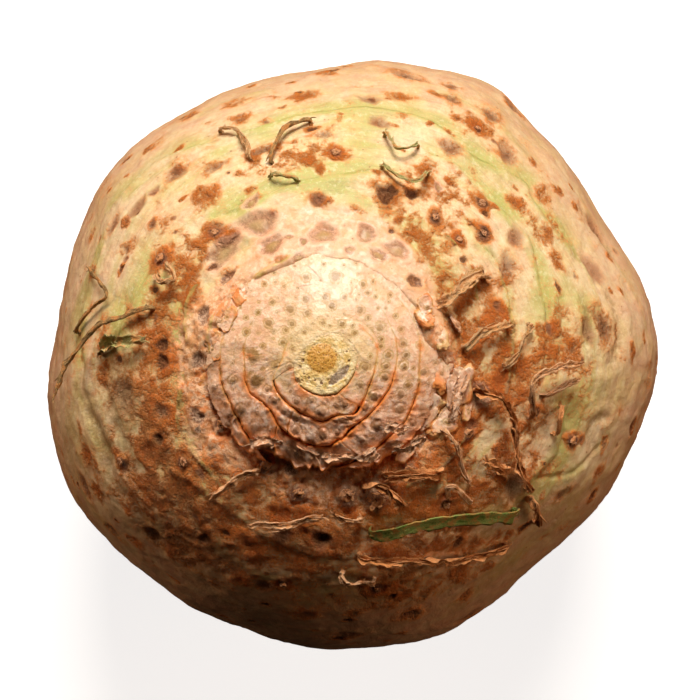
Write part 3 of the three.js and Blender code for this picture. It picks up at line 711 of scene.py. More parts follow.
class SkinField:
    """The skin's points, the height to add at each, and the marks on it."""

    def __init__(self, work, surface):
        self.surface = surface
        self.places = np.array([vert.co for vert in work.verts])
        away = self.places - np.array(CORE)
        self.outward = away / np.linalg.norm(away, axis=1)[:, None]
        self.polar = np.degrees(np.arccos(self.outward[:, 2]))
        self.x, self.y = self.places[:, 0] - CROWN.x, self.places[:, 1] - CROWN.y
        self.reach = np.hypot(self.x, self.y)
        self.rise = np.zeros(len(self.places))
        self.marks = {name: np.zeros(len(self.places)) for name in MARKS}
        self.marks |= {f"{kind}_out": np.full(len(self.places), FAR_OUT) for kind in SPOT_RELIEF}
        self.nearest = np.full(len(self.places), FAR_OUT)
        self.tree = tree_of(self.places)

    def near(self, centre, reach):
        """Points near a centre, with their offsets round the root and away from the crown."""
        index = np.array([item[1] for item in self.tree.find_range(centre, reach)], dtype=int)
        outward = (centre - CORE).normalized()
        slope = centre - CROWN
        slope = (slope - slope.dot(outward) * outward).normalized()
        offset = self.places[index] - np.array(centre)
        return index, offset @ np.array(outward.cross(slope)), offset @ np.array(slope)

    def round_spot(self, centre, radius, stretch, dice, reach):
        """Points round a spot, and how far out each is: 1 on the spot's uneven outline."""
        index, around, down = self.near(centre, radius * reach * stretch)
        around = around / (radius * stretch)
        down = down / radius
        turn = np.arctan2(down, around)
        uneven = sum(size * np.sin(waves * turn + dice.uniform(0, 2 * math.pi))
                     for waves, size in ((2, 0.12), (3, 0.09), (5, 0.06), (9, 0.04)))
        return index, np.hypot(around, down) * (1 + uneven)

    def add_spot(self, kind, centre, radius, stretch, dice, reach):
        """Shapes a spot, and keeps how far out the points round it are and the spot's own tone."""
        index, out = self.round_spot(centre, radius, stretch, dice, reach)
        for height, shape, start, end in SPOT_RELIEF[kind]:
            if kind == "pit" and shape is fade:
                height += RAW_SHALLOWER * np.clip(self.marks["raw"][index], 0, 1)
            self.rise[index] += height * radius * shape(out, start, end)
        outs = self.marks[f"{kind}_out"]
        outs[index] = np.minimum(outs[index], out)
        closer = out < self.nearest[index]
        self.nearest[index[closer]] = out[closer]
        self.marks["own"][index[closer]] = dice.random()

    def line(self, spots, reach):
        """Each point's distance from a line, and how far it is on the side away from the crown."""
        gap = np.full(len(self.places), 99.0)
        beyond = np.zeros(len(self.places))
        for spot in curve_through([Vector((*spot, 0)) for spot in spots], LINE_STEPS):
            centre = self.surface.seen_at(spot.x, spot.y)
            index, around, slope = self.near(centre, reach)
            distance = np.hypot(around, slope)
            closer = distance < gap[index]
            gap[index[closer]] = distance[closer]
            beyond[index[closer]] = slope[closer]
        return gap, beyond


def smooth_skin(work, times):
    for _ in range(times):
        bmesh.ops.smooth_vert(work, verts=work.verts, factor=0.5, use_axis_x=True, use_axis_y=True,
                              use_axis_z=True)


def skin_ball(surface):
    """A closed ball of triangles laid on the CAD skin, finer where the camera looks."""
    work = bmesh.new()
    bmesh.ops.create_icosphere(work, subdivisions=SKIN_DETAIL, radius=1)
    for vert in work.verts:
        vert.co = surface.towards(vert.co.normalized())
    smooth_skin(work, 8)
    bmesh.ops.subdivide_edges(work, edges=work.edges, cuts=1, use_grid_fill=True)
    smooth_skin(work, 5)
    finer = set()
    for face in work.faces:
        polar = math.degrees(math.acos((face.calc_center_median() - CORE).normalized().z))
        if FINER_BAND[0] < polar < FINER_BAND[1]:
            finer.update(face.edges)
    bmesh.ops.subdivide_edges(work, edges=list(finer), cuts=1, use_grid_fill=True)
    bmesh.ops.triangulate(work, faces=[face for face in work.faces if len(face.verts) > 3])
    smooth_skin(work, 2)
    return work


def mark_seen_side(field, dice):
    """The marks with a spot in the picture."""
    marks = field.marks
    worn = lumps(field.places, 6, 7, 2)
    for half, depth, spots in LEDGES:
        gap, beyond = field.line(spots, 7 * half)
        field.rise += depth * fade(beyond, half, -half) * ring(gap, 0, 3.2 * half)
        field.rise -= 0.4 * depth * ring(gap, 0, 0.8 * half)
        band = np.where(beyond > 0, 4.4, 1.8) * half
        marks["green"] += 0.8 * ring(gap, 0, band) * (1 + 1.1 * worn)
        marks["line"] += dice.uniform(0.7, 1.0) * ring(gap, 0, 0.5 * half) * (1 + worn)
    for half, depth, spots in FOLDS:
        gap, _ = field.line(spots, 5 * half)
        deep = depth * (0.7 + 0.9 * worn)
        field.rise += 0.08 * deep * ring(gap, 2.6 * half, half)
        field.rise -= 0.4 * deep * ring(gap, 0, 1.3 * half)
        # grime and painted shade along the fold's hollow
        marks["grime_and_shade"] += (0.6 + 0.6 * worn) * ring(gap, 0, 1.2 * half)
    for half, depth, spots in CREASES:
        gap, _ = field.line(spots, 4 * half)
        field.rise -= 0.7 * depth * ring(gap, 0, half)
        marks["line"] += 0.7 * ring(gap, 0, half) * (1 + worn)
        marks["green"] += 0.6 * ring(gap, 0, 3.0 * half) * (1 + 0.8 * worn)
    for half, height, spots in SEAMS:
        gap, beyond = field.line(spots, 5 * half)
        stand = 1.5 * height * (0.8 + worn) * ring(gap, 0, 1.3 * half)
        field.rise += stand * fade(beyond, half, -0.2 * half)
        field.rise -= 0.5 * height * ring(gap, 0, 1.4 * half) * (beyond > 0)
        marks["seam"] += (1.1 + worn) * ring(gap, 0, 1.3 * half)
        marks["rust"] += 0.5 * ring(gap, 0, 3.0 * half) * (0.6 + worn) * (beyond > 0)
    for kind, patches in PATCHES.items():
        for across, down, radius, strength in patches:
            if kind == "rust" and down < UPPER_RUST[0]:
                strength *= UPPER_RUST[1]
            centre = field.surface.seen_at(across, down)
            index, out = field.round_spot(centre, radius, 1.2, dice, 2.0)
            marks[kind][index] += strength * ring(out, 0, 0.95)
        marks[kind] = PATCH_LIMIT * (1 - np.exp(-marks[kind]))
    for kind, (reach, spots) in SPOTS.items():
        for across, down, radius, stretch in spots:
            field.add_spot(kind, field.surface.seen_at(across, down), radius, stretch, dice, reach)


def mark_rust(field):
    """Rust spread round the crown, thickest on its lower side, and faint stains elsewhere."""
    lower = fade(-field.y + 0.3 * field.x, -14, 16)
    belt = fade(field.reach, 16, 21) * fade(field.reach, 50, 30)
    cloud = lumps(field.places, 6, 11)
    rust = field.marks["rust"] + belt * lower * (0.85 + 1.5 * cloud) * (field.outward[:, 2] > 0)
    rust += 0.3 * fade(lumps(field.places, 9, 12), 0.05, 0.6)
    clumps = 0.4 + 0.9 * fade(lumps(field.places, 2.6, 14), -0.4, 0.4)
    field.marks["rust"] = np.clip(rust * clumps, 0, PATCH_LIMIT)


def scatter_spots(field, dice, count, top, span, sway, kinds, sizes, longest):
    """Spots spread evenly, with some scatter, over a zone that spans so much down from a level."""
    for number in range(count):
        level = top - span * (number + 0.5) / count
        polar = math.degrees(math.acos(max(-1, level))) + dice.uniform(-3, 3)
        bearing = number * GOLDEN_ANGLE + dice.uniform(-sway, sway)
        centre = field.surface.towards(heading(bearing, polar))
        kind = dice.choice(kinds)
        if kind == "stub" and polar < SMOOTH_BELLY:
            kind = "dark"
        radius = dice.uniform(*sizes)
        field.add_spot(kind, centre, radius, dice.uniform(1, longest), dice, 2.6)


def shape_skin(work, surface, sizes):
    """Moves the ball's points out and in to make the skin's relief, and stores its marks."""
    field = SkinField(work, surface)
    marks = field.marks
    dice = random.Random(SEEDS["skin"])
    mark_seen_side(field, dice)
    mark_rust(field)
    scatter_spots(field, dice, FLECKS, math.cos(math.radians(24)), 0.85, 12,
                  ("rust", "rust", "dark", "rust", "pit"), (0.3, 0.85), 1.8)
    for bearing, polar, radius in SIDE_ROOTS:
        field.add_spot("root", surface.towards(heading(bearing, polar)), radius, 1.1, dice, 1.8)
    scatter_spots(field, dice, HIDDEN_SPOTS, 0.02, 1.0, 8,
                  ("rust", "rust", "rust", "dark", "dark", "stub", "pit"), (0.8, 1.9), 1.6)
    below = fade(field.polar, 88, 125)
    broad = lumps(field.places, 15, 1) + 0.4 * lumps(field.places, 5, 2)
    field.rise += sizes.lump_height / MM * broad
    field.rise += 0.1 * lumps(field.places, 1.7, 3, 2) * (1 + 1.2 * marks["rust"])
    bearing = np.arctan2(field.outward[:, 1], field.outward[:, 0])
    turned = np.stack([1.4 * np.cos(bearing), 1.4 * np.sin(bearing), field.polar / 7], axis=1)
    wave = lumps(turned, 1, 4, 2)
    wrinkle = ring(wave, 0, 0.09)
    field.rise -= sizes.wrinkle_depth / MM * wrinkle * (0.35 + 1.4 * below)
    # grime and painted shade in the wrinkles of the underside
    marks["grime_and_shade"] += 0.5 * wrinkle * below
    marks["green"] += 0.45 * ring(wave, 0.25, 0.16) * (1 - below)
    marks["line"] += 0.4 * ring(wave, 0.3, 0.03) * (1 - below)
    field.rise += 0.35 * np.clip(marks["raw"], 0, 1) * ridges(lumps(field.places, 1.4, 13, 2))
    wavy = FILLET_REACH + 1.1 * lumps(field.places, 4.5, 15, 2)
    dome = FILLET_RISE - DOME_FALL * field.reach ** 2
    dome -= 0.25 * np.maximum(0, wavy - field.reach) + 1.6 * np.maximum(0, wavy - 1.6 - field.reach)
    dome = 0.5 * (dome + np.hypot(dome, 0.9))
    dome *= fade(field.reach, 30, 25) * fade(field.reach, 14, 17)
    field.rise += dome * fade(field.y, -4, 6) * (field.outward[:, 2] > 0)
    # browner flanks, and painted shade that darkens the side towards -Y, away from the key light
    marks["flank_and_shade"] = np.maximum(fade(field.polar, 55, 96), fade(-field.places[:, 1], 14, 50))
    marks["soil"] = fade(field.polar, 98, 150) * (0.7 + 0.6 * lumps(field.places, 9, 6))
    field.rise *= fade(field.places[:, 2], 0.2, 4)  # the foot stays flat
    places = field.places + field.outward * field.rise[:, None]
    places[:, 2] = np.maximum(places[:, 2], 0)
    for name, layer in zip(marks, number_layers(work, marks)):
        for vert, value in zip(work.verts, np.clip(marks[name], 0, FAR_OUT)):
            vert[layer] = value
    grain = vector_layer(work, "grain")
    for vert, place, turn, polar in zip(work.verts, places, bearing, field.polar):
        vert.co = place
        vert[grain] = Vector((40 * math.cos(turn), 40 * math.sin(turn), polar)) * MM


# How far light seeps into flesh, in metres for red, green and blue.
SOFT = {"Subsurface_Radius": (0.004, 0.002, 0.001), "Subsurface_Scale": 0.5}


def flesh_noises(finish):
    """The noises of the cut flesh: broad cloud, dabs, upright patches and fine grain."""
    upright = finish.stretched(finish.place(), (1, 1, 0.7))
    return (finish.noise(3), finish.noise(1.2, roughness=0.6), finish.noise(2, upright),
            finish.noise(0.4, roughness=0.65))


def cut_flesh(finish, tints):
    """Pale cut flesh, the same on the leaf bases as on the skin and heart that run into them."""
    cloud, dabs, patch, fine = flesh_noises(finish)
    flesh = finish.layers(
        tints.flesh,
        (dabs.fade(0.44, 0.58), (0.9, 0.65, 0.46)),
        (cloud.fade(0.46, 0.6) * 0.3, (0.78, 0.53, 0.22)),
        ((patch + 0.3 * fine).fade(0.62, 0.76) * 0.5, (0.74, 0.38, 0.21)))
    for spot, near, far, share, tint in PALE_AREAS:
        middle = Vector((CROWN.x + spot[0], CROWN.y + spot[1], SEAT + 8)) * MM
        away = finish.node("ShaderNodeVectorMath", {"operation": "DISTANCE"},
                           {0: finish.place(), 1: middle}, output="Value")
        away = away + (cloud - 0.5) * 0.008 + (dabs - 0.5) * 0.006
        flesh = finish.mix(away.fade(far * MM, near * MM) * share, flesh, tint)
    return flesh


def skin_finish(tints):
    finish = Finish("celeriac_skin", Specular_IOR_Level=0.35, Subsurface_Weight=0.08,
                    Coat_Roughness=0.3, **SOFT)
    grain = finish.mark("grain", "Vector")
    streak = finish.noise(1.8, finish.stretched(grain, (0.13, 0.13, 1)), 5)
    wisp = finish.noise(0.6, finish.stretched(grain, (0.1, 0.1, 1)))
    blotch = finish.noise(11)
    mottle = finish.noise(3.2, detail=5, roughness=0.6)
    crumb = finish.noise(1.1, detail=5, roughness=0.7)
    speck = finish.noise(0.42, roughness=0.7)
    own = finish.mark("own")
    ragged = (crumb - 0.5) * 1.1 + (speck - 0.5) * 0.7
    rust_out, dark_out, pit_out, plate_out, stub_out, root_out = (
        finish.mark(f"{kind}_out") for kind in ("rust", "dark", "pit", "plate", "stub", "root"))

    fresh = (finish.mark("fresh") + mottle * 0.6).fade(0.5, 1.2)
    greening = finish.mark("green") + streak * 0.7 + mottle * 0.5 + blotch * 0.4
    skin = finish.layers(
        tints.cream,
        ((blotch + 0.5 * streak).fade(0.6, 0.95), tints.straw),
        ((mottle + 0.3 * streak).fade(0.55, 0.85) * 0.6, tints.pink),
        (greening.fade(0.75, 1.95) * 0.85, tints.green),
        ((finish.mark("line") + wisp * 0.7).fade(0.75, 1.3) * 0.6, tints.moss),
        ((wisp + 0.3 * mottle).fade(0.62, 0.9) * 0.2, tints.umber),
        (crumb.fade(0.5, 0.62) * 0.2, (0.6, 0.38, 0.2)),
        (crumb.fade(0.48, 0.36) * 0.3, (0.95, 0.84, 0.58)),
        # painted shade: browner on the flanks and towards -Y, away from the key light
        (finish.mark("flank_and_shade") * (0.2 + 1.1 * mottle), tints.blush_and_shade),
        (fresh * 0.95, cut_flesh(finish, tints)))

    # Rust: a stain, powder that breaks up into grains, and a darker middle.
    spots = (rust_out + ragged * 0.5).fade(1.9, 0.3) * (0.7 + 0.3 * own)
    halos = (stub_out + ragged + own * 0.5).fade(2.9, 1.0) * 0.7
    halos = halos + (dark_out + ragged + own).fade(2.4, 1.2) * 0.4
    halos = halos + (pit_out + ragged).fade(2.2, 1.1) * 0.5
    rust = (finish.mark("rust") + spots + halos) * (1 - 0.6 * fresh)
    rust = rust * (0.6 + 0.65 * (mottle + 0.4 * crumb).fade(0.55, 0.85))
    rusty = (rust + ragged).fade(0.3, 1.5)
    stain = rust + (crumb - 0.5) * 0.8 + (speck - 0.5) * 1.2
    grains = ((crumb - 0.5) * 3.8 + (speck - 0.5) * 5.5) * rust.fade(0.0, 0.7)
    powder = finish.layers(
        (0.6, 0.125, 0.01),
        ((0.5 * crumb + 0.5 * speck).fade(0.42, 0.55), tints.rust),
        ((0.3 * crumb + 0.7 * speck).fade(0.5, 0.6) * 0.6, (0.92, 0.38, 0.09)))
    core = finish.mix(speck.fade(0.4, 0.6), tints.deep_rust, (0.62, 0.26, 0.1))
    skin = finish.layers(
        skin,
        ((rust + mottle).fade(0.6, 1.6) * 0.35, tints.blush_and_shade),
        (stain.fade(-0.1, 0.9) * 0.8, tints.amber),
        ((rust + grains).fade(0.12, 1.3) * 0.97, powder),
        ((rust + 1.1 * grains).fade(1.15, 2.3) * 0.6, tints.deep_rust),
        ((rust_out + ragged * 0.5 + own * 0.5).fade(0.75, 0.15) * 0.6, core))

    # Torn flesh, sheath edges, flat scars and cut side roots.
    raw = (finish.mark("raw") + ragged * 1.5).fade(0.3, 0.95)
    torn = finish.layers(
        (0.64, 0.26, 0.1),
        ((crumb + 0.5 * mottle).fade(0.66, 0.8), (0.92, 0.58, 0.35)),
        ((mottle - 0.4 * crumb).fade(0.32, 0.42) * 0.8, tints.rust))
    seam = (finish.mark("seam") + (crumb - 0.5) * 1.8).fade(0.3, 0.8)
    sheath = finish.mix(mottle.fade(0.42, 0.58), (0.8, 0.44, 0.2), (0.62, 0.44, 0.12))
    plate_out = plate_out + ragged * 0.7
    root_out = root_out + ragged * 0.15
    scar = finish.layers(
        (0.3, 0.11, 0.045),
        ((0.5 * speck + 0.5 * crumb).fade(0.44, 0.58), (0.5, 0.25, 0.12)),
        (plate_out.fade(0.8, 0.1) * 0.5, (0.42, 0.32, 0.07)))
    skin = finish.layers(
        skin,
        (raw * 0.85, torn),
        (seam * 0.8, sheath),
        (plate_out.fade(1.7, 1.0) * mottle.fade(0.4, 0.6) * 0.5, tints.rust),
        (plate_out.fade(1.5, 1.05) * 0.5, (0.85, 0.58, 0.42)),
        (plate_out.fade(1.2, 0.55) * (0.75 + 0.2 * own), scar),
        (root_out.fade(1.2, 1.0) * 0.8, tints.deep_rust),
        (root_out.fade(1.0, 0.92) * 0.8, tints.tan),
        (root_out.fade(0.75, 0.6) * 0.6, tints.straw),
        (root_out.fade(0.45, 0.3) * 0.7, tints.deep_rust))

    # Dark scars, stubs' feet, pits, grime with painted shade, soil and specks over everything.
    dark_out, stub_out, pit_out = (out + ragged * 0.5 for out in (dark_out, stub_out, pit_out))
    fleck = speck.fade(0.42, 0.58)
    hollow = finish.mix(raw * 0.85, finish.mix(fleck, (0.14, 0.04, 0.012), (0.32, 0.12, 0.04)),
                        finish.mix(fleck, (0.24, 0.12, 0.07), (0.66, 0.44, 0.3)))
    soiled = (finish.mark("soil") + crumb * 0.6 + speck * 0.2).fade(0.7, 1.5)
    skin = finish.layers(
        skin,
        (dark_out.fade(1.25, 0.5) * (0.4 + 0.4 * own), tints.mauve),
        ((dark_out + (speck - 0.5) * 1.5 + own * 0.5).fade(0.9, 0.2) * 0.5, tints.umber),
        (stub_out.fade(1.3, 0.8) * 0.5, tints.mauve),
        (stub_out.fade(1.0, 0.6) * 0.7, tints.umber),
        (pit_out.fade(1.15, 0.7) * 0.9, hollow),
        # grime with painted shade in the creases and folds and on the lower side
        ((finish.mark("grime_and_shade") + (crumb - 0.5) * 2.4).fade(0.1, 1.4) * 0.55, tints.grime_and_shade),
        (soiled * 0.9, tints.soil),
        (finish.cells(1.7).fade(0.16, 0.09) * crumb.fade(0.5, 0.6) * 0.6, tints.deep_rust),
        (speck.fade(0.55, 0.75) * (0.22 - 0.16 * rusty), (0.98, 0.86, 0.66)),
        (speck.fade(0.45, 0.25) * 0.2, (0.45, 0.25, 0.1)))
    height = 0.08 * streak + 0.25 * speck + 0.35 * crumb
    height = height + rusty * (1 - 0.85 * raw) * (0.8 * mottle + 0.9 * crumb + 1.1 * speck)
    roughness = 0.42 + 0.35 * rusty + 0.1 * soiled + (speck - 0.5) * 0.3 - 0.1 * raw
    return finish.finished(skin, roughness, height, 0.5,
                           Coat_Weight=(raw + 0.4 * fresh) * mottle.fade(0.42, 0.58))


# ---- The crown ---------------------------------------------------------------------------------
PICTURED_LEVEL = 6  # mm over the seat, where spots of the picture are taken to lie on the crown
STRAND_TRIES = 900
CROWN_REACH = 20.0  # mm from the middle within which strands are spread
STRAND_SPACING = 1.5  # mm between the middles of two strands in the cut
ROLL_START = 16.0  # mm from the middle, where the dome's lower side begins to roll over
RIM_ROLL = 0.04  # mm of further drop per square mm of distance from there
EMBEDDED = 0.8  # mm that a leaf base reaches into the root
SLANT = 5  # degrees that a leaf base's two ends lean
END_OVERLAP = 0.35  # mm that a leaf base reaches past its end, under or over its neighbour
# How a ring's edge melts: degrees from the bottom where it starts and ends to, and how much.
MELTING = ((60, 110, 1), (120, 160, 0.5), (130, 165, 0.7), (130, 165, 0.7), (40, 80, 1.3))
EDGE_GAPS = (0.05, -0.06)  # mm from a leaf base to its neighbour's line, at the bottom and the top
BASE_STEP = 0.19  # mm between points along a leaf base
BASE_ROWS = 20  # squares across a leaf base
BASE_LAYERS = ("out", "edge", "line", "age", "tone", "relief")


def crown_spot(across, down):
    """A spot of the picture on the cut crown, as an offset from the crown's middle in mm."""
    ray = ray_through(across, down)
    place = EYE + ray * ((SEAT + PICTURED_LEVEL - EYE.z) / ray.z)
    return Vector((place.x - CROWN.x, place.y - CROWN.y))


def noise_at(x, y, level, size):
    return noise.noise(Vector((x, y, level)) / size)


def drift(x, y):
    """A small sideways shift that makes the rings uneven, the same for neighbours."""
    shift = Vector((0, 0))
    for size, level, most in ((5.5, 2.0, 0.5), (1.6, 6.0, 0.14)):
        place = Vector((x / size, y / size, level))
        shift += Vector((noise.noise(place), noise.noise(place + Vector((9, 4, 7))))) * most
    return shift


class Crown:
    """What all leaf bases share: ring edges, dome, strands and lines, from the crown's middle."""

    def __init__(self, sizes):
        self.sizes = sizes
        self.edges = [self.closed(knots) for knots in RING_EDGES]
        self.strands = self.spread_strands()
        self.strand_tree = tree_of([(middle.x, middle.y, 0) for middle, _, _ in self.strands])
        runs = [curve_through([Vector((bearing, reach, 0)) for bearing, reach in knots], 14)
                for knots in CROWN_LINES]
        self.line_tree = tree_of([Vector((spot.y * math.cos(math.radians(spot.x)),
                                          spot.y * math.sin(math.radians(spot.x)), 0))
                                  for run in runs for spot in run])

    @staticmethod
    def closed(knots):
        """A ring edge's distance from the middle at each whole degree."""
        wrapped = [*((bearing - 360, reach) for bearing, reach in knots[-2:]), *knots,
                   *((bearing + 360, reach) for bearing, reach in knots[:2])]
        run = curve_through([Vector((bearing, reach, 0)) for bearing, reach in wrapped], 8)
        return np.interp(np.arange(361), [spot.x for spot in run], [spot.y for spot in run])

    def reach(self, ring_number, bearing):
        return float(np.interp(bearing % 360, np.arange(361), self.edges[ring_number]))

    @staticmethod
    def spread_strands():
        """Each cut strand's middle, radius and tone: the chosen ones, and others between them."""
        dice = random.Random(SEEDS["strands"])
        scale = (EYE.z - SEAT - PICTURED_LEVEL) / FOCAL
        strands = [(crown_spot(across, down), radius * scale, dice.uniform(0.6, 1.0))
                   for across, down, radius in STRANDS]
        for _ in range(STRAND_TRIES):
            reach = CROWN_REACH * math.sqrt(dice.random())
            turn = dice.uniform(0, 2 * math.pi)
            middle = Vector((reach * math.cos(turn), reach * math.sin(turn)))
            radius = dice.uniform(0.16, 0.5) * (1 if middle.y > -2 else 1.5)
            room = STRAND_SPACING * dice.uniform(0.2, 0.8)
            if reach > 6 and all((middle - other).length > room + size + radius * 0.6
                                 for other, size, _ in strands):
                strands.append((middle, radius, dice.uniform(0.15, 1.0)))
        return strands

    def lower(self, x, y):
        """How torn and browned the cut is: 0 at the top of the picture, 1 at the bottom."""
        return min(1.0, max(0.0, 0.4 - 0.052 * y + 0.25 * noise_at(x, y, 4, 4)))

    @staticmethod
    def unseen(ring_number, bearing):
        """How far a ring's edge melts into its neighbour: 1 where the cut shows no line."""
        from_bottom = abs((bearing - 90) % 360 - 180)
        first, last, most = MELTING[ring_number]
        return most * fade(from_bottom, first, last)

    def relief(self, x, y):
        """How far the uneven cut stands off the dome in mm, and its crests and hollows, -1 to 1."""
        lower = self.lower(x, y)
        bend = Vector((noise_at(x, y, 2, 1.9), noise_at(x, y, 12, 1.9), 0))
        bent = Vector((x, y, 5)) + 0.9 * bend
        crest = ridges(noise.noise(bent / 2.1))
        small_crest = ridges(noise.noise(bent / 0.75 + Vector((0, 0, 8))))
        rough = fade(noise_at(x, y, 20, 2.8), -0.35, 0.35)
        height = (0.02 + 0.3 * lower) * crest * (0.4 + 0.6 * rough)
        height += (0.02 + 0.16 * lower) * small_crest * rough
        height += (0.1 + 0.35 * lower) * noise_at(x, y, 1, 3.1)
        return height + 0.04 * noise_at(x, y, 9, 0.45), 0.6 * crest + 0.4 * small_crest

    def level(self, x, y):
        """The dome's height over the seat."""
        reach = math.hypot(x, y)
        roll = RIM_ROLL * fade(y, 9, -2) * max(0, reach - ROLL_START) ** 2
        return self.sizes.dome_height / MM - DOME_FALL * reach ** 2 - roll


def leaf_base(base, crown):
    """One cut leaf base: a curved band that follows the dome, with rolled edges and strands."""
    number, first, last, lift, ragged = base
    middle = (first + last) / 2
    middle_reach = (crown.reach(number - 1, middle) + crown.reach(number, middle)) / 2
    arc = math.radians(last - first) * middle_reach
    work = bmesh.new()
    layers = number_layers(work, BASE_LAYERS)
    columns = max(24, round(arc / BASE_STEP))
    grid = bmesh.ops.create_grid(work, x_segments=columns, y_segments=BASE_ROWS, size=0.5)
    for vert in grid["verts"]:
        share, side = vert.co.x + 0.5, 2 * vert.co.y
        side = 1.5 * side - 0.5 * side ** 3
        bearing = first + (last - first) * share + SLANT * side
        turn = math.radians(bearing)
        gap = float(np.interp(math.sin(turn), (-0.4, 0.3), EDGE_GAPS))
        bearing -= (1 - 2 * share) * math.degrees(END_OVERLAP / middle_reach)
        inner = crown.reach(number - 1, bearing) + gap
        outer = crown.reach(number, bearing) - gap
        torn = noise.noise(Vector((turn * middle_reach / 1.3, middle_reach, 3)))
        torn += 0.7 * noise.noise(Vector((turn * middle_reach / 0.45, middle_reach, 8)))
        outer += ragged * 0.7 * torn
        tip = min(share, 1 - share) * arc
        half = (outer - inner) / 2
        radius = (outer + inner) / 2 + side * half
        x, y = radius * math.cos(turn), radius * math.sin(turn)
        shift = drift(x, y)
        x, y = x + shift.x, y + shift.y
        lower = crown.lower(x, y)
        edge = (1 - abs(side)) * half + 1.2 * crown.unseen(number - (side < 0), bearing)
        if tip < edge and lower > 0.35:
            edge = min(edge, tip + 0.25)
        _, index, gap = crown.strand_tree.find((x, y, 0))
        _, strand, tone = crown.strands[index]
        out = gap / strand
        gap_to_line = crown.line_tree.find((x, y, 0))[2]
        uneven, relief = crown.relief(x, y)
        level = crown.level(x, y) + lift * fade(tip, 0, 2.5) + uneven
        knob = fade(out, 1.15, 0.1) - 0.7 * ring(out, 0.8, 0.2) - 0.4 * ring(out, 0, 0.15)
        size = min(1, strand / 0.8) * (0.06 + 0.75 * lower * tone)
        level += crown.sizes.strand_height / MM * knob * size
        level -= (0.05 + 0.4 * lower) * ring(gap_to_line, 0, 0.22)
        lip = ring(edge, 0.3, 0.25) * (side > 0) * max(0, torn + 0.25)
        level += lip * (0.1 + 0.9 * ragged) * (0.3 + 0.7 * lower)
        level -= (0.04 + 0.55 * lower ** 1.5) * max(0, 1 - edge / (0.15 + 0.35 * lower)) ** 2
        vert.co = Vector((CROWN.x + x, CROWN.y + y, SEAT + level))
        values = (min(out, 2), min(edge, 2), min(gap_to_line, 2), lower, tone, relief)
        for layer, value in zip(layers, values):
            vert[layer] = value
    close_below(work, SEAT - EMBEDDED)
    return work


def chunk(work, place, length, width, tall, dice):
    """Adds one torn piece of leaf base: long round the crown, ragged, with a slanting cut."""
    layers = number_layers(work, BASE_LAYERS)
    outward = (place - CORE).normalized()
    round_crown = outward.cross(place - CROWN).normalized()
    round_crown = (round_crown + random_vector(dice, -0.2, 0.2)).normalized()
    outward = (outward - outward.dot(round_crown) * round_crown).normalized()
    beside = outward.cross(round_crown)
    shift = random_vector(dice, 0, 50)
    slope = dice.uniform(-0.25, 0.25), dice.uniform(-0.3, 0.3)
    strands = [(dice.uniform(-0.6, 0.6) * length, dice.uniform(-0.3, 0.3) * width,
                dice.uniform(0.25, 0.5)) for _ in range(max(1, round(length)))]
    for vert in bmesh.ops.create_icosphere(work, subdivisions=5, radius=1)["verts"]:
        boxy = Vector([math.copysign(abs(share) ** 0.62, share) for share in vert.co])
        here = Vector((boxy.x * length, boxy.y * width, boxy.z * tall))
        crest = ridges(noise.noise(here / 1.5 + shift))
        fine_crest = ridges(noise.noise(here / 0.5 - shift))
        lump = noise.noise(here / 2.2 - shift)
        here *= 1 + 0.45 * lump + 0.16 * crest + 0.1 * fine_crest
        cut = tall * (0.55 + 0.25 * lump) + slope[0] * here.x + slope[1] * here.y
        cut += 0.16 * crest + 0.07 * fine_crest
        inside = here.z - cut
        out, _ = min((math.hypot(here.x - x, here.y - y) / size, size) for x, y, size in strands)
        here.z = max(min(here.z, cut + 0.12 * fade(out, 1.1, 0.3)), -EMBEDDED)
        vert.co = place + round_crown * here.x + beside * here.y + outward * here.z
        values = (min(out, 2) if inside > 0 else 2, min(2, max(0.0, 1.6 * inside)), 2,
                  0.42 + 0.6 * lump, 0.8, 0.6 * crest + 0.4 * fine_crest)
        for layer, value in zip(layers, values):
            vert[layer] = value


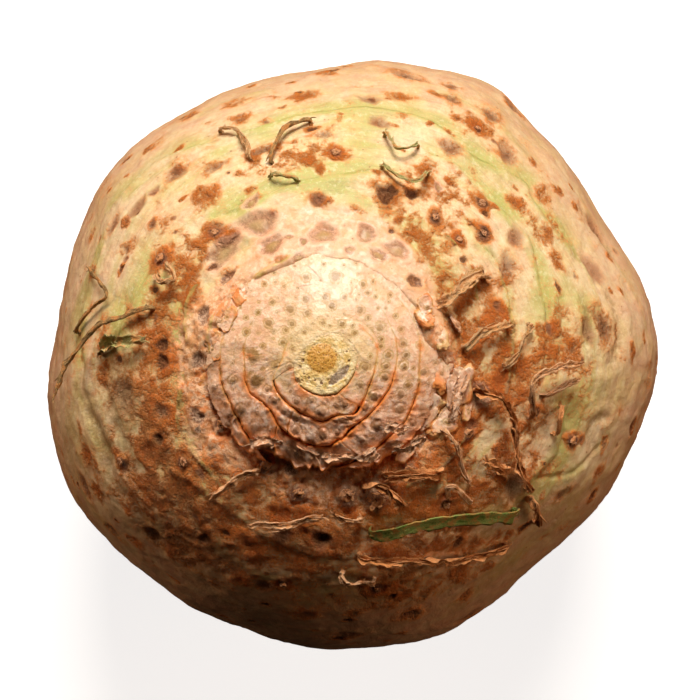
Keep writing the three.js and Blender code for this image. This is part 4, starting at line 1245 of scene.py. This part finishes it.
def leaf_base_finish(tints):
    finish = Finish("cut_leaf_base", Specular_IOR_Level=0.5, Subsurface_Weight=0.12,
                    Coat_Roughness=0.2, **SOFT)
    out, edge, line, age, tone, relief = (finish.mark(name) for name in BASE_LAYERS)
    cloud, dabs, patch, fine = flesh_noises(finish)
    ageing = (age + 0.8 * cloud + 0.3 * dabs).fade(0.7, 1.5)
    aged = finish.layers(
        tints.aged_flesh,
        (dabs.fade(0.44, 0.58), (0.86, 0.54, 0.38)),
        ((patch + 0.3 * fine).fade(0.64, 0.78) * 0.6, (0.5, 0.19, 0.07)))
    uneven = relief + (fine - 0.5) * 1.6
    uneven_out = out + (fine - 0.5) * 0.6 + (dabs - 0.5) * 0.5
    olive = finish.mix(ageing, (0.42, 0.25, 0.04), (0.36, 0.14, 0.05))
    rusty = (cloud + dabs * 0.6 + fine * 0.4 - edge * 0.25 + age * 0.3).fade(0.92, 1.3)
    flesh = finish.layers(
        cut_flesh(finish, tints),
        (ageing * 0.9, aged),
        # painted highlight on the crests of the uneven cut, and painted shade in its orange-brown
        # hollows
        (uneven.fade(0.3, 0.95) * ageing * 0.6, (0.96, 0.74, 0.6)),
        (uneven.fade(0.0, -0.9) * ageing.fade(0.1, 0.9) * 0.75, (0.56, 0.18, 0.04)),
        (uneven_out.fade(1.7, 0.9) * tone * 0.35, olive),
        (uneven_out.fade(1.3, 1.1) * uneven_out.fade(0.8, 1.0) * tone * 0.5, olive),
        (uneven_out.fade(0.85, 0.45) * (0.3 + 0.6 * tone),
         finish.mix(ageing, tints.olive, (0.24, 0.11, 0.05))),
        ((line + fine * 0.3).fade(0.4, 0.15) * cloud.fade(0.4, 0.55) * 0.6, olive),
        ((edge + fine * 0.3 - 0.3 * age).fade(0.4, 0.1) * (0.5 + 0.4 * ageing),
         finish.mix(ageing, (0.6, 0.38, 0.07), (0.66, 0.24, 0.06))),
        (rusty * 0.7, tints.rust))
    return finish.finished(flesh, 0.42 + 0.2 * rusty, 0.4 * fine + 0.8 * dabs, 0.3,
                           Coat_Weight=(cloud + 0.4 * fine).fade(0.5, 0.8) * (0.35 + 0.65 * ageing))


# Where the heart's parts are in the picture, and the bud's radius in mm.
BUD_SPOT, BUD_RADIUS = (322, 358), 2.5
SPLIT_ENDS = (331, 383), (347, 368)
DOT_ARC = (
    (304, 352), (302, 360), (301, 367), (304, 373), (309, 378), (315, 381), (322, 382), (329, 379),
    (336, 356), (346, 352), (348, 360),
)
HEART_LAYERS = ("gold", "split", "dot", "olive", "fold", "melt")
HEART_ROWS = 110  # squares across the heart


def heart_bud(crown):
    """The heart: a grainy round bud in a pale crescent, with a dark split and an olive rim."""
    dice = random.Random(SEEDS["heart"])
    work = bmesh.new()
    layers = number_layers(work, HEART_LAYERS)
    bud = crown_spot(*BUD_SPOT)
    first, second = (crown_spot(*spot) for spot in SPLIT_ENDS)
    split_way = second - first
    dots = [(crown_spot(across + dice.uniform(-1, 1), down + dice.uniform(-1, 1)),
             dice.uniform(0.14, 0.36)) for across, down in DOT_ARC]
    grid = bmesh.ops.create_grid(work, x_segments=HEART_ROWS, y_segments=HEART_ROWS, size=1)
    for vert in grid["verts"]:
        u, v = vert.co.x, vert.co.y
        offset = Vector((u * math.sqrt(1 - v * v / 2), v * math.sqrt(1 - u * u / 2)))
        out = offset.length
        offset *= crown.reach(0, math.degrees(math.atan2(offset.y, offset.x))) + 0.12
        offset += drift(offset.x, offset.y)
        x, y = offset
        along = (offset - first).dot(split_way) / split_way.length_squared
        along = min(1.0, max(0.0, along))
        uneven = 0.25 * noise_at(x, y, 7, 0.7)
        width = 0.3 + 0.65 * math.sin(math.pi * (0.1 + 0.8 * along))
        split = (offset - first - along * split_way).length * (1 + uneven)
        split = fade(split, width * 1.35, width * 0.5)
        from_bud = (offset - bud).length * (1 + 0.4 * uneven)
        gold = fade(from_bud, BUD_RADIUS * 1.2, BUD_RADIUS * 0.85)
        dot = max(fade((offset - spot).length, radius * 1.4, radius * 0.5) for spot, radius in dots)
        lower = fade(y - 0.4 * x, 0.0, -4.5)
        fold = max(ring(from_bud + uneven, BUD_RADIUS * share, 0.13) for share in (1.22, 1.55, 1.9))
        level = crown.level(x, y)
        level += 0.16 * fade(from_bud, BUD_RADIUS, BUD_RADIUS * 0.3)
        level -= 0.08 * ring(from_bud, BUD_RADIUS * 1.05, 0.25) + 0.05 * fold
        level -= 0.22 * split + 0.1 * dot
        level += 0.02 - 0.4 * lower * fade(out, 0.93, 1.0) ** 2
        level += 0.1 * noise_at(x, y, 3, 0.8) * fade(out, 1.0, 0.7)
        level += crown.relief(x, y)[0] * fade(out, 0.5, 0.95)
        level += 0.05 * gold * noise_at(x, y, 5, 0.25)
        vert.co = Vector((CROWN.x + x, CROWN.y + y, SEAT + level))
        olive, melt = fade(out, 0.78, 0.97) * lower, fade(out, 0.72, 0.98) * (1 - lower)
        for layer, value in zip(layers, (gold, split, dot, olive, fold, melt)):
            vert[layer] = value
    close_below(work, SEAT - EMBEDDED)
    return work


def heart_finish(tints):
    finish = Finish("heart_bud", Specular_IOR_Level=0.5, Subsurface_Weight=0.12, Coat_Weight=0.3,
                    Coat_Roughness=0.25, **SOFT)
    gold, split, dot, olive, fold, melt = (finish.mark(name) for name in HEART_LAYERS)
    cloud = finish.noise(1.5)
    fine = finish.noise(0.3, detail=3)
    freckle = finish.cells(0.45)
    split_edge = split + (fine - 0.5) * 1.6 + (cloud - 0.5)
    flesh = finish.layers(
        (0.92, 0.72, 0.4),
        (cloud.fade(0.42, 0.58), (0.8, 0.54, 0.19)),
        ((gold + (fine - 0.5) * 0.9).fade(0.1, 0.9) * 0.95,
         finish.mix(fine.fade(0.4, 0.6), tints.gold, (0.68, 0.36, 0.06))),
        (freckle.fade(0.36, 0.16) * (fine + 0.6 * gold).fade(0.5, 0.8) * 0.85,
         (0.22, 0.085, 0.012)),
        ((fold + fine * 0.3).fade(0.5, 1.0) * 0.5, (0.4, 0.24, 0.03)),
        ((olive + (fine - 0.5) * 0.8).fade(0.45, 1.0) * 0.8, tints.olive),
        ((dot + (fine - 0.5) * 0.6).fade(0.25, 0.75) * 0.85, (0.15, 0.05, 0.012)),
        (split_edge.fade(0.25, 1.0) * 0.8,
         finish.mix((cloud + split * 0.4).fade(0.55, 0.95), (0.48, 0.34, 0.28), (0.2, 0.13, 0.11))),
        (melt, cut_flesh(finish, tints)))
    return finish.finished(flesh, 0.4 + 0.1 * cloud, fine + 0.5 * freckle, 0.14)


# ---- Rootlets and flaps ------------------------------------------------------------------------
FIBRE_COLOURS = {  # light, middle and dark
    "rust": ((0.88, 0.42, 0.18), (0.68, 0.24, 0.06), (0.2, 0.065, 0.02)),
    "tan": ((0.9, 0.56, 0.33), (0.74, 0.35, 0.13), (0.24, 0.1, 0.035)),
    "straw": ((0.86, 0.56, 0.3), (0.66, 0.3, 0.09), (0.11, 0.09, 0.03)),
    "dark": ((0.44, 0.27, 0.11), (0.15, 0.075, 0.024), (0.04, 0.02, 0.008)),
    "green": ((0.66, 0.56, 0.26), (0.34, 0.33, 0.09), (0.12, 0.1, 0.022)),
    "leaf": ((0.36, 0.46, 0.13), (0.16, 0.27, 0.045), (0.08, 0.12, 0.02)),
    "stub": ((0.7, 0.38, 0.22), (0.4, 0.15, 0.06), (0.06, 0.03, 0.015)),
    "paper": ((0.94, 0.68, 0.5), (0.8, 0.42, 0.22), (0.46, 0.15, 0.04)),
}
SLENDER = {  # kinds without sheet or bundle: shares of thickness and width, and the gutter's depth
    "leaf": (0.8, 1.35, 0.2),
    "dark": (0.8, 0.8, 0.1),
    "green": (0.7, 0.85, None),
}
WOODY = (0.85, 1.25, None)  # the same for the other kinds
BURIED = 1.0  # mm that a rootlet's fixed end reaches into the skin
FREE_HEIGHT = 1.45  # mm over the skin above which an end hangs free
STRIP_STEPS = 12  # rings of points between two places of a route
LOOSE_SHEETS = 5  # small torn sheets round each papery flap
STUB_SHARE = 0.6  # how wide a stub's knob is, as a share of its mark on the skin


def fibre_layers(work):
    """The layers that a fibre's material reads: gutter, loose ends, and place along the fibre."""
    return *number_layers(work, ("inside", "tip")), vector_layer(work, "run")


def fibre_finish(name, light, middle, dark):
    finish = Finish(name, Specular_IOR_Level=0.15)
    inside, tip, run = finish.mark("inside"), finish.mark("tip"), finish.mark("run", "Vector")
    thread = finish.noise(0.5, finish.stretched(run, (1, 1, 0.16)), roughness=0.65)
    patch = finish.noise(1.6)
    fine = finish.noise(0.28, roughness=0.7)
    gutter = inside + (thread - 0.5) * 1.2 + (patch - 0.5) * 1.4
    body = finish.layers(
        middle,
        ((thread + patch + fine * 0.6).fade(1.05, 1.35), light),
        ((fine + 0.4 * patch).fade(0.62, 0.52) * 0.3, dark),
        (gutter.fade(0.35, 0.8) * 0.85, dark),
        (thread.fade(0.44, 0.3) * 0.55, dark),
        ((patch + 0.5 * fine).fade(0.72, 0.86) * 0.6, (0.8, 0.3, 0.08)),
        ((tip + (fine - 0.5) * 1.5).fade(0.3, 1.0) * 0.5, (0.85, 0.4, 0.15)))
    return finish.finished(body, 0.65 + 0.2 * fine, 0.7 * thread + 0.9 * fine, 0.4)


def route_points(surface, route):
    """The route's points over the skin, with each fixed end led on into it."""
    points = [surface.over(*place) for place in route]
    if route[0][2] < FREE_HEIGHT:
        points.insert(0, surface.over(*route[0][:2], -BURIED))
    if route[-1][2] < FREE_HEIGHT:
        points.append(surface.over(*route[-1][:2], -BURIED))
    return points


def strip(work, path, thick, wide, dice, sides=20, steps=STRIP_STEPS, gutter=0.0, rough=1.0):
    """Adds a closed strip along a path, round or folded into a gutter, with thinner ends."""
    inside, tip, along = fibre_layers(work)
    run = curve_through(path, steps)
    last = len(run) - 1
    stride = sum((b - a).length for a, b in zip(run, run[1:])) / last
    phase = [dice.uniform(0, 2 * math.pi) for _ in range(5)]
    twist = dice.uniform(-3, 3)
    roll = dice.uniform(-0.5, 0.5) * rough
    for vert in bmesh.ops.create_grid(work, x_segments=sides, y_segments=last, size=0.5)["verts"]:
        turn = (vert.co.x + 0.5) * 2 * math.pi
        cosine, sine = math.cos(turn), math.sin(turn)
        share = vert.co.y + 0.5
        number = round(share * last)
        here = run[number]
        _, outward, beside = frame_along(run, number)
        lean = roll + rough * 1.1 * noise.noise(here / 3.0 + Vector((0, phase[4], 0)))
        outward, beside = (outward * math.cos(lean) + beside * math.sin(lean),
                           beside * math.cos(lean) - outward * math.sin(lean))
        ribs = math.sin(3 * turn + phase[0] + twist * share)
        ribs += 0.6 * math.sin(7 * turn + phase[1] - twist * share)
        lump = noise.noise(here / 1.5 + Vector((phase[2], 0, 0)))
        kink = noise.noise(here / 0.9 + Vector((0, 0, phase[3])))
        rim = noise.noise(here / 0.8 + Vector((phase[1], round(cosine) * 5, 0)))
        rim += 0.7 * noise.noise(here / 0.35 + Vector((phase[2], round(cosine) * 5, 0)))
        fuzz = noise.noise((here + outward * sine + beside * cosine) / 0.32)
        end = min(share, 1 - share) * last / steps
        size = (0.9 + 0.12 * ribs + 0.45 * lump + 0.16 * rough * fuzz) * fade(end, -0.3, 0.5)
        across = cosine * wide / 2 * size * (1 + 0.5 * gutter * rim)
        up = sine * thick / 2 * size * (1 - 0.55 * gutter)
        up += gutter * (1 + 0.9 * lump) * (abs(cosine) ** 1.7 - 0.5) * wide * 0.55 * size
        across += 0.3 * thick * lump
        vert.co = here + beside * across + outward * (up + 0.2 * thick * kink)
        vert[inside] = max(0, sine) * (1 - cosine ** 2) * (0.2 + 0.8 * gutter)
        vert[tip] = fade(end, 0.6, 0.0)
        vert[along] = Vector((cosine, sine, number * stride)) * MM
    bmesh.ops.remove_doubles(work, verts=work.verts, dist=0.0005)
    bmesh.ops.holes_fill(work, edges=[edge for edge in work.edges if edge.is_boundary])


def bundle(work, path, thick, wide, dice, count):
    """Adds thin, wavy fibres that run along part of a rootlet and stray from it."""
    for _ in range(count):
        side, lift = dice.uniform(-0.45, 0.45) * wide, dice.uniform(0.1, 0.5) * thick
        first = dice.randrange(max(1, len(path) - 2))
        part = path[first:first + dice.choice((3, 4))]
        fibre = []
        for number, here in enumerate(part):
            ahead = (part[min(number + 1, len(part) - 1)] - part[max(number - 1, 0)]).normalized()
            outward = (here - CORE).normalized()
            beside = ahead.cross(outward)
            stray = 1.8 if number in (0, len(part) - 1) else 0.8
            away = side + dice.uniform(-0.5, 0.5) * wide
            fibre.append(here + beside * away * stray + outward * lift * stray)
        strip(work, fibre, dice.uniform(0.14, 0.24), dice.uniform(0.18, 0.36), dice, sides=6,
              steps=8)


def splinters(work, path, thick, dice, count, first=0.0, last=1.0):
    """Adds short hairs that peel off a rootlet between two shares of its length."""
    run = curve_through(path, STRIP_STEPS)
    steps = len(run) - 2
    for _ in range(count):
        number = min(steps - 1, max(1, round(steps * dice.uniform(first, last))))
        start = run[number]
        ahead = (run[number + 1] - run[number]).normalized()
        if number < steps / 2:
            ahead = -ahead
        outward = (start - CORE).normalized()
        beside = ahead.cross(outward) * dice.uniform(-1, 1)
        reach = dice.uniform(0.8, 2.2)
        bend = start + (ahead * 0.6 + 0.3 * beside + 0.15 * outward) * reach
        end = start + (ahead + 0.8 * beside + dice.uniform(-0.1, 0.35) * outward) * reach
        strip(work, [start, bend, end], thick * 0.18, thick * dice.uniform(0.2, 0.4), dice, sides=5,
              steps=3)


def torn_sheet(work, path, wide, tilt, dice):
    """Adds a thin, curled sheet with torn edges along a path."""
    inside, tip, along = fibre_layers(work)
    run = curve_through(path, STRIP_STEPS)
    steps = len(run) - 1
    shift = Vector((dice.uniform(0, 50), 0, 0))
    made = bmesh.ops.create_grid(work, x_segments=9, y_segments=steps, size=0.5)["verts"]
    for vert in made:
        side, share = 2 * vert.co.x, vert.co.y + 0.5
        number = round(share * steps)
        here = run[number]
        _, outward, beside = frame_along(run, number)
        ragged = noise.noise(here / 0.9 + shift) + 0.7 * noise.noise(here / 0.35 - shift)
        end = min(share, 1 - share) * steps / STRIP_STEPS
        half = wide / 2 * (0.75 + 0.5 * ragged) * fade(end, -0.35, 0.35)
        lean = tilt + 0.5 * noise.noise(here / 2.0 + 2 * shift) + 0.5 * side
        wave = 0.3 * noise.noise(here / 0.7 + Vector((side, side, 3)))
        up = side * half * math.sin(lean) + wave
        vert.co = here + beside * side * half * math.cos(lean) + outward * up
        vert[inside] = 0.5 * noise.noise(Vector((side * 2.5, share * 2, 4)) + shift)
        vert[tip] = abs(side)
        vert[along] = Vector((side, share * steps / 3, shift.x)) * MM
    faces = list({face for vert in made for face in vert.link_faces})
    bmesh.ops.solidify(work, geom=faces, thickness=0.2)


# ---- Stubs of broken roots ---------------------------------------------------------------------
def stub_knob(work, centre, radius, dice):
    """Adds one broken stub: a creased foot with torn fibres standing out of it."""
    inside, tip, along = fibre_layers(work)
    outward = (centre - CORE).normalized()
    tall = radius * dice.uniform(0.35, 0.6)
    lean = random_vector(dice, -0.3, 0.3)
    turned = (outward + lean).normalized().to_track_quat("Z", "Y").to_matrix()
    shift = random_vector(dice, 0, 50)
    for vert in bmesh.ops.create_icosphere(work, subdivisions=4, radius=1)["verts"]:
        unit = vert.co.copy()
        reach = math.hypot(unit.x, unit.y)
        crest = ridges(noise.noise(unit * 1.6 + shift))
        uneven = 1 + 0.5 * noise.noise(unit * 1.4 - shift) + 0.3 * crest
        uneven += 0.15 * noise.noise(unit * 5 + shift)
        top = fade(unit.z, 0.1, 0.6)
        level = unit.z * uneven - 0.5 * fade(reach, 0.6, 0.0) * top
        vert.co = centre + turned @ Vector((unit.x * radius * uneven, unit.y * radius * uneven,
                                            max(level * tall, -0.9)))
        vert[inside] = top * fade(reach + 0.3 * crest, 0.7, 0.2)
        vert[tip] = 0.7 * fade(crest, 0.2, 0.8)
        vert[along] = Vector((unit.x, unit.y, unit.z * tall)) * MM
    for number in range(3 + round(radius)):
        turn = math.radians(number * GOLDEN_ANGLE + dice.uniform(-40, 40))
        side = turned @ Vector((math.cos(turn), math.sin(turn), 0))
        start = centre + side * radius * dice.uniform(0.1, 0.5) - outward * 0.4
        middle = start + (outward + 0.5 * side) * radius * dice.uniform(0.7, 1.1)
        bend = 0.5 * outward + side * dice.uniform(-0.4, 1.0)
        end = middle + bend * radius * dice.uniform(0.4, 0.9)
        strip(work, [start, middle, end], radius * 0.4, radius * dice.uniform(0.5, 1.0), dice,
              sides=10, steps=5, gutter=0.6)


# ---- The stage ---------------------------------------------------------------------------------
LIGHTS = (  # direction from the core, distance and side in metres, watts, and tint
    ("key_light", (0.06, 0.77, 0.65), 1.1, 0.5, 17.6, (1.0, 0.95, 0.87)),
    ("right_light", (0.97, 0.0, 0.3), 1.3, 0.9, 5.8, (1.0, 0.64, 0.4)),
    ("left_light", (-0.95, 0.34, 0.14), 1.3, 0.7, 7.4, (1.0, 0.66, 0.44)),
)
SKY = {"Color": (1.0, 0.66, 0.42, 1), "Strength": 0.012}
FLOOR_GLOW = 0.8
FLOOR_GAP = 0.05  # mm from the floor up to the root's foot
NEAREST_SEEN = 0.01  # metres from the camera


def soft_light(name, direction, distance, size, power, tint):
    """A square light that shines on the root's core."""
    data = bpy.data.lights.new(name, "AREA")
    data.shape = "SQUARE"
    data.size = size
    data.energy = power
    data.color = tint
    lamp = add_object(name, data)
    towards = Vector(direction).normalized()
    lamp.location = CORE * MM + towards * distance
    lamp.rotation_euler = towards.to_track_quat("Z", "Y").to_euler()


class CELERIAC_OT_stage(bpy.types.Operator):
    """Add the pale floor, the soft lights and the camera"""

    bl_idname = "celeriac.stage"
    bl_label = "Stage"

    def execute(self, context):
        work = bmesh.new()
        half = context.scene.celeriac_sizes.floor_size / 2
        bmesh.ops.create_grid(work, x_segments=1, y_segments=1, size=half)
        mesh = bpy.data.meshes.new("floor")
        work.to_mesh(mesh)
        work.free()
        pale = Finish("pale_floor", Emission_Color=(1, 1, 1, 1), Emission_Strength=FLOOR_GLOW)
        cloud = pale.noise(900, detail=2)
        mesh.materials.append(pale.finished(pale.mix(cloud, (0.56, 0.55, 0.54), (0.6, 0.59, 0.58)),
                                            0.9, cloud, 0.1))
        floor = add_object("floor", mesh)
        floor.location.z = -FLOOR_GAP * MM
        floor.visible_diffuse = False
        floor.visible_glossy = False
        for light in LIGHTS:
            soft_light(*light)
        world = bpy.data.worlds.new("studio")
        world.use_nodes = True
        context.scene.world = world
        sky = next(node for node in world.node_tree.nodes if node.type == "BACKGROUND")
        for socket, value in SKY.items():
            sky.inputs[socket].default_value = value
        camera = bpy.data.cameras.new("camera")
        camera.lens = LENS
        camera.sensor_width = SENSOR
        camera.clip_start = NEAREST_SEEN
        context.scene.camera = add_object("camera", camera)
        context.scene.camera.location = EYE * MM
        context.scene.view_settings.view_transform = "Standard"
        return {"FINISHED"}


class CELERIAC_OT_skin(bpy.types.Operator):
    """Add the swollen root with its ringed, scarred skin"""

    bl_idname = "celeriac.skin"
    bl_label = "Skin"

    def execute(self, context):
        surface = Surface(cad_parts["root_body"])
        work = skin_ball(surface)
        shape_skin(work, surface, context.scene.celeriac_sizes)
        material = skin_finish(context.scene.celeriac_colours)
        finish_piece(work, "root_skin", material, ["root_body"])
        return {"FINISHED"}


class CELERIAC_OT_stubs(bpy.types.Operator):
    """Add the stubs of broken roots that stand out of the skin"""

    bl_idname = "celeriac.stubs"
    bl_label = "Stubs"

    def execute(self, context):
        surface = Surface(bpy.data.objects["root_skin"])
        dice = random.Random(SEEDS["stubs"])
        work = bmesh.new()
        for across, down, radius, _ in SPOTS["stub"][1]:
            stub_knob(work, surface.seen_at(across, down), radius * STUB_SHARE, dice)
        material = fibre_finish("stub", *FIBRE_COLOURS["stub"])
        finish_piece(work, "broken_stubs", material, [])
        return {"FINISHED"}


class CELERIAC_OT_leaf_bases(bpy.types.Operator):
    """Add the cut leaf bases that wrap the heart in rings"""

    bl_idname = "celeriac.leaf_bases"
    bl_label = "Cut leaf bases"

    def execute(self, context):
        material = leaf_base_finish(context.scene.celeriac_colours)
        crown = Crown(context.scene.celeriac_sizes)
        for number, base in enumerate(LEAF_BASES, 1):
            name = f"leaf_base_{number:02}"
            finish_piece(leaf_base(base, crown), f"cut_{name}", material, [name])
        surface = Surface(bpy.data.objects["root_skin"])
        dice = random.Random(SEEDS["chunks"])
        work = bmesh.new()
        for across, down, *sizes in CHUNKS:
            chunk(work, surface.seen_at(across, down), *sizes, dice)
        finish_piece(work, "torn_leaf_remains", material, [])
        return {"FINISHED"}


class CELERIAC_OT_heart(bpy.types.Operator):
    """Add the yellow heart of the crown"""

    bl_idname = "celeriac.heart"
    bl_label = "Heart"

    def execute(self, context):
        work = heart_bud(Crown(context.scene.celeriac_sizes))
        material = heart_finish(context.scene.celeriac_colours)
        finish_piece(work, "heart", material, ["heart_bud"])
        return {"FINISHED"}


class CELERIAC_OT_rootlets(bpy.types.Operator):
    """Add the dried rootlets, fibres and leaf scraps that cling to the skin"""

    bl_idname = "celeriac.rootlets"
    bl_label = "Rootlets"

    def execute(self, context):
        surface = Surface(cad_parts["root_body"])
        finishes = {kind: fibre_finish(f"{kind}_fibre", *FIBRE_COLOURS[kind])
                    for kind in sorted({rootlet[3] for rootlet in ROOTLETS})}
        for seed, (name, thick, wide, kind, route) in enumerate(ROOTLETS):
            dice = random.Random(seed)
            work = bmesh.new()
            path = route_points(surface, route)
            thinner, wider, gutter = SLENDER.get(kind, WOODY)
            gutter = gutter or dice.uniform(0.4, 0.9)
            strip(work, path, thick * thinner, wide * wider, dice, gutter=gutter,
                  rough=0.12 if kind == "leaf" else 1.0)
            if kind not in SLENDER:
                torn_sheet(work, path, wide * dice.uniform(0.7, 1.1), dice.uniform(-0.9, 0.9), dice)
                bundle(work, path, thick, wide, dice, 2)
            splinters(work, path, thick, dice, 5 + len(route))
            splinters(work, path, thick, dice, 5, 0.85, 1.0)
            finish_piece(work, f"dried_{name}", finishes[kind], [name])
        return {"FINISHED"}


class CELERIAC_OT_flaps(bpy.types.Operator):
    """Add the papery flaps of old leaf stalks round the crown"""

    bl_idname = "celeriac.flaps"
    bl_label = "Papery flaps"

    def execute(self, context):
        surface = Surface(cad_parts["root_body"])
        material = fibre_finish("paper_flap", *FIBRE_COLOURS["paper"])
        for seed, (name, wide, route) in enumerate(FLAPS, SEEDS["flaps"]):
            dice = random.Random(seed)
            work = bmesh.new()
            path = [surface.over(*place) for place in route]
            torn_sheet(work, path, wide * 1.3, dice.uniform(-0.3, 0.5), dice)
            for _ in range(LOOSE_SHEETS):
                shift = random_vector(dice, -0.9, 0.9)
                first = dice.randrange(len(path) - 1)
                part = [spot + shift for spot in path[first:first + 2]]
                torn_sheet(work, part, wide * 0.8, dice.uniform(-0.8, 0.8), dice)
            splinters(work, path, wide * 0.4, dice, 4)
            finish_piece(work, f"papery_{name}", material, [name])
        return {"FINISHED"}


class CELERIAC_PT_panel(bpy.types.Panel):
    bl_label = "Celeriac root"
    bl_idname = "CELERIAC_PT_panel"
    bl_space_type = "VIEW_3D"
    bl_region_type = "UI"
    bl_category = "Celeriac"

    def draw(self, context):
        for step in STEPS:
            self.layout.operator(step.bl_idname)
        for group in (context.scene.celeriac_sizes, context.scene.celeriac_colours):
            for name in group.__annotations__:
                self.layout.prop(group, name)


STEPS = (CELERIAC_OT_stage, CELERIAC_OT_skin, CELERIAC_OT_stubs, CELERIAC_OT_leaf_bases,
         CELERIAC_OT_heart, CELERIAC_OT_rootlets, CELERIAC_OT_flaps)
CLASSES = (CeleriacSizes, CeleriacColours, *STEPS, CELERIAC_PT_panel)


def register():
    for item in CLASSES:
        bpy.utils.register_class(item)
    bpy.types.Scene.celeriac_sizes = bpy.props.PointerProperty(type=CeleriacSizes)
    bpy.types.Scene.celeriac_colours = bpy.props.PointerProperty(type=CeleriacColours)


def unregister():
    del bpy.types.Scene.celeriac_colours
    del bpy.types.Scene.celeriac_sizes
    for item in reversed(CLASSES):
        bpy.utils.unregister_class(item)


def main():
    register()
    bpy.ops.celeriac.stage()
    bpy.ops.celeriac.skin()
    bpy.ops.celeriac.stubs()
    bpy.ops.celeriac.leaf_bases()
    bpy.ops.celeriac.heart()
    bpy.ops.celeriac.rootlets()
    bpy.ops.celeriac.flaps()


if __name__ == "__main__":
    main()
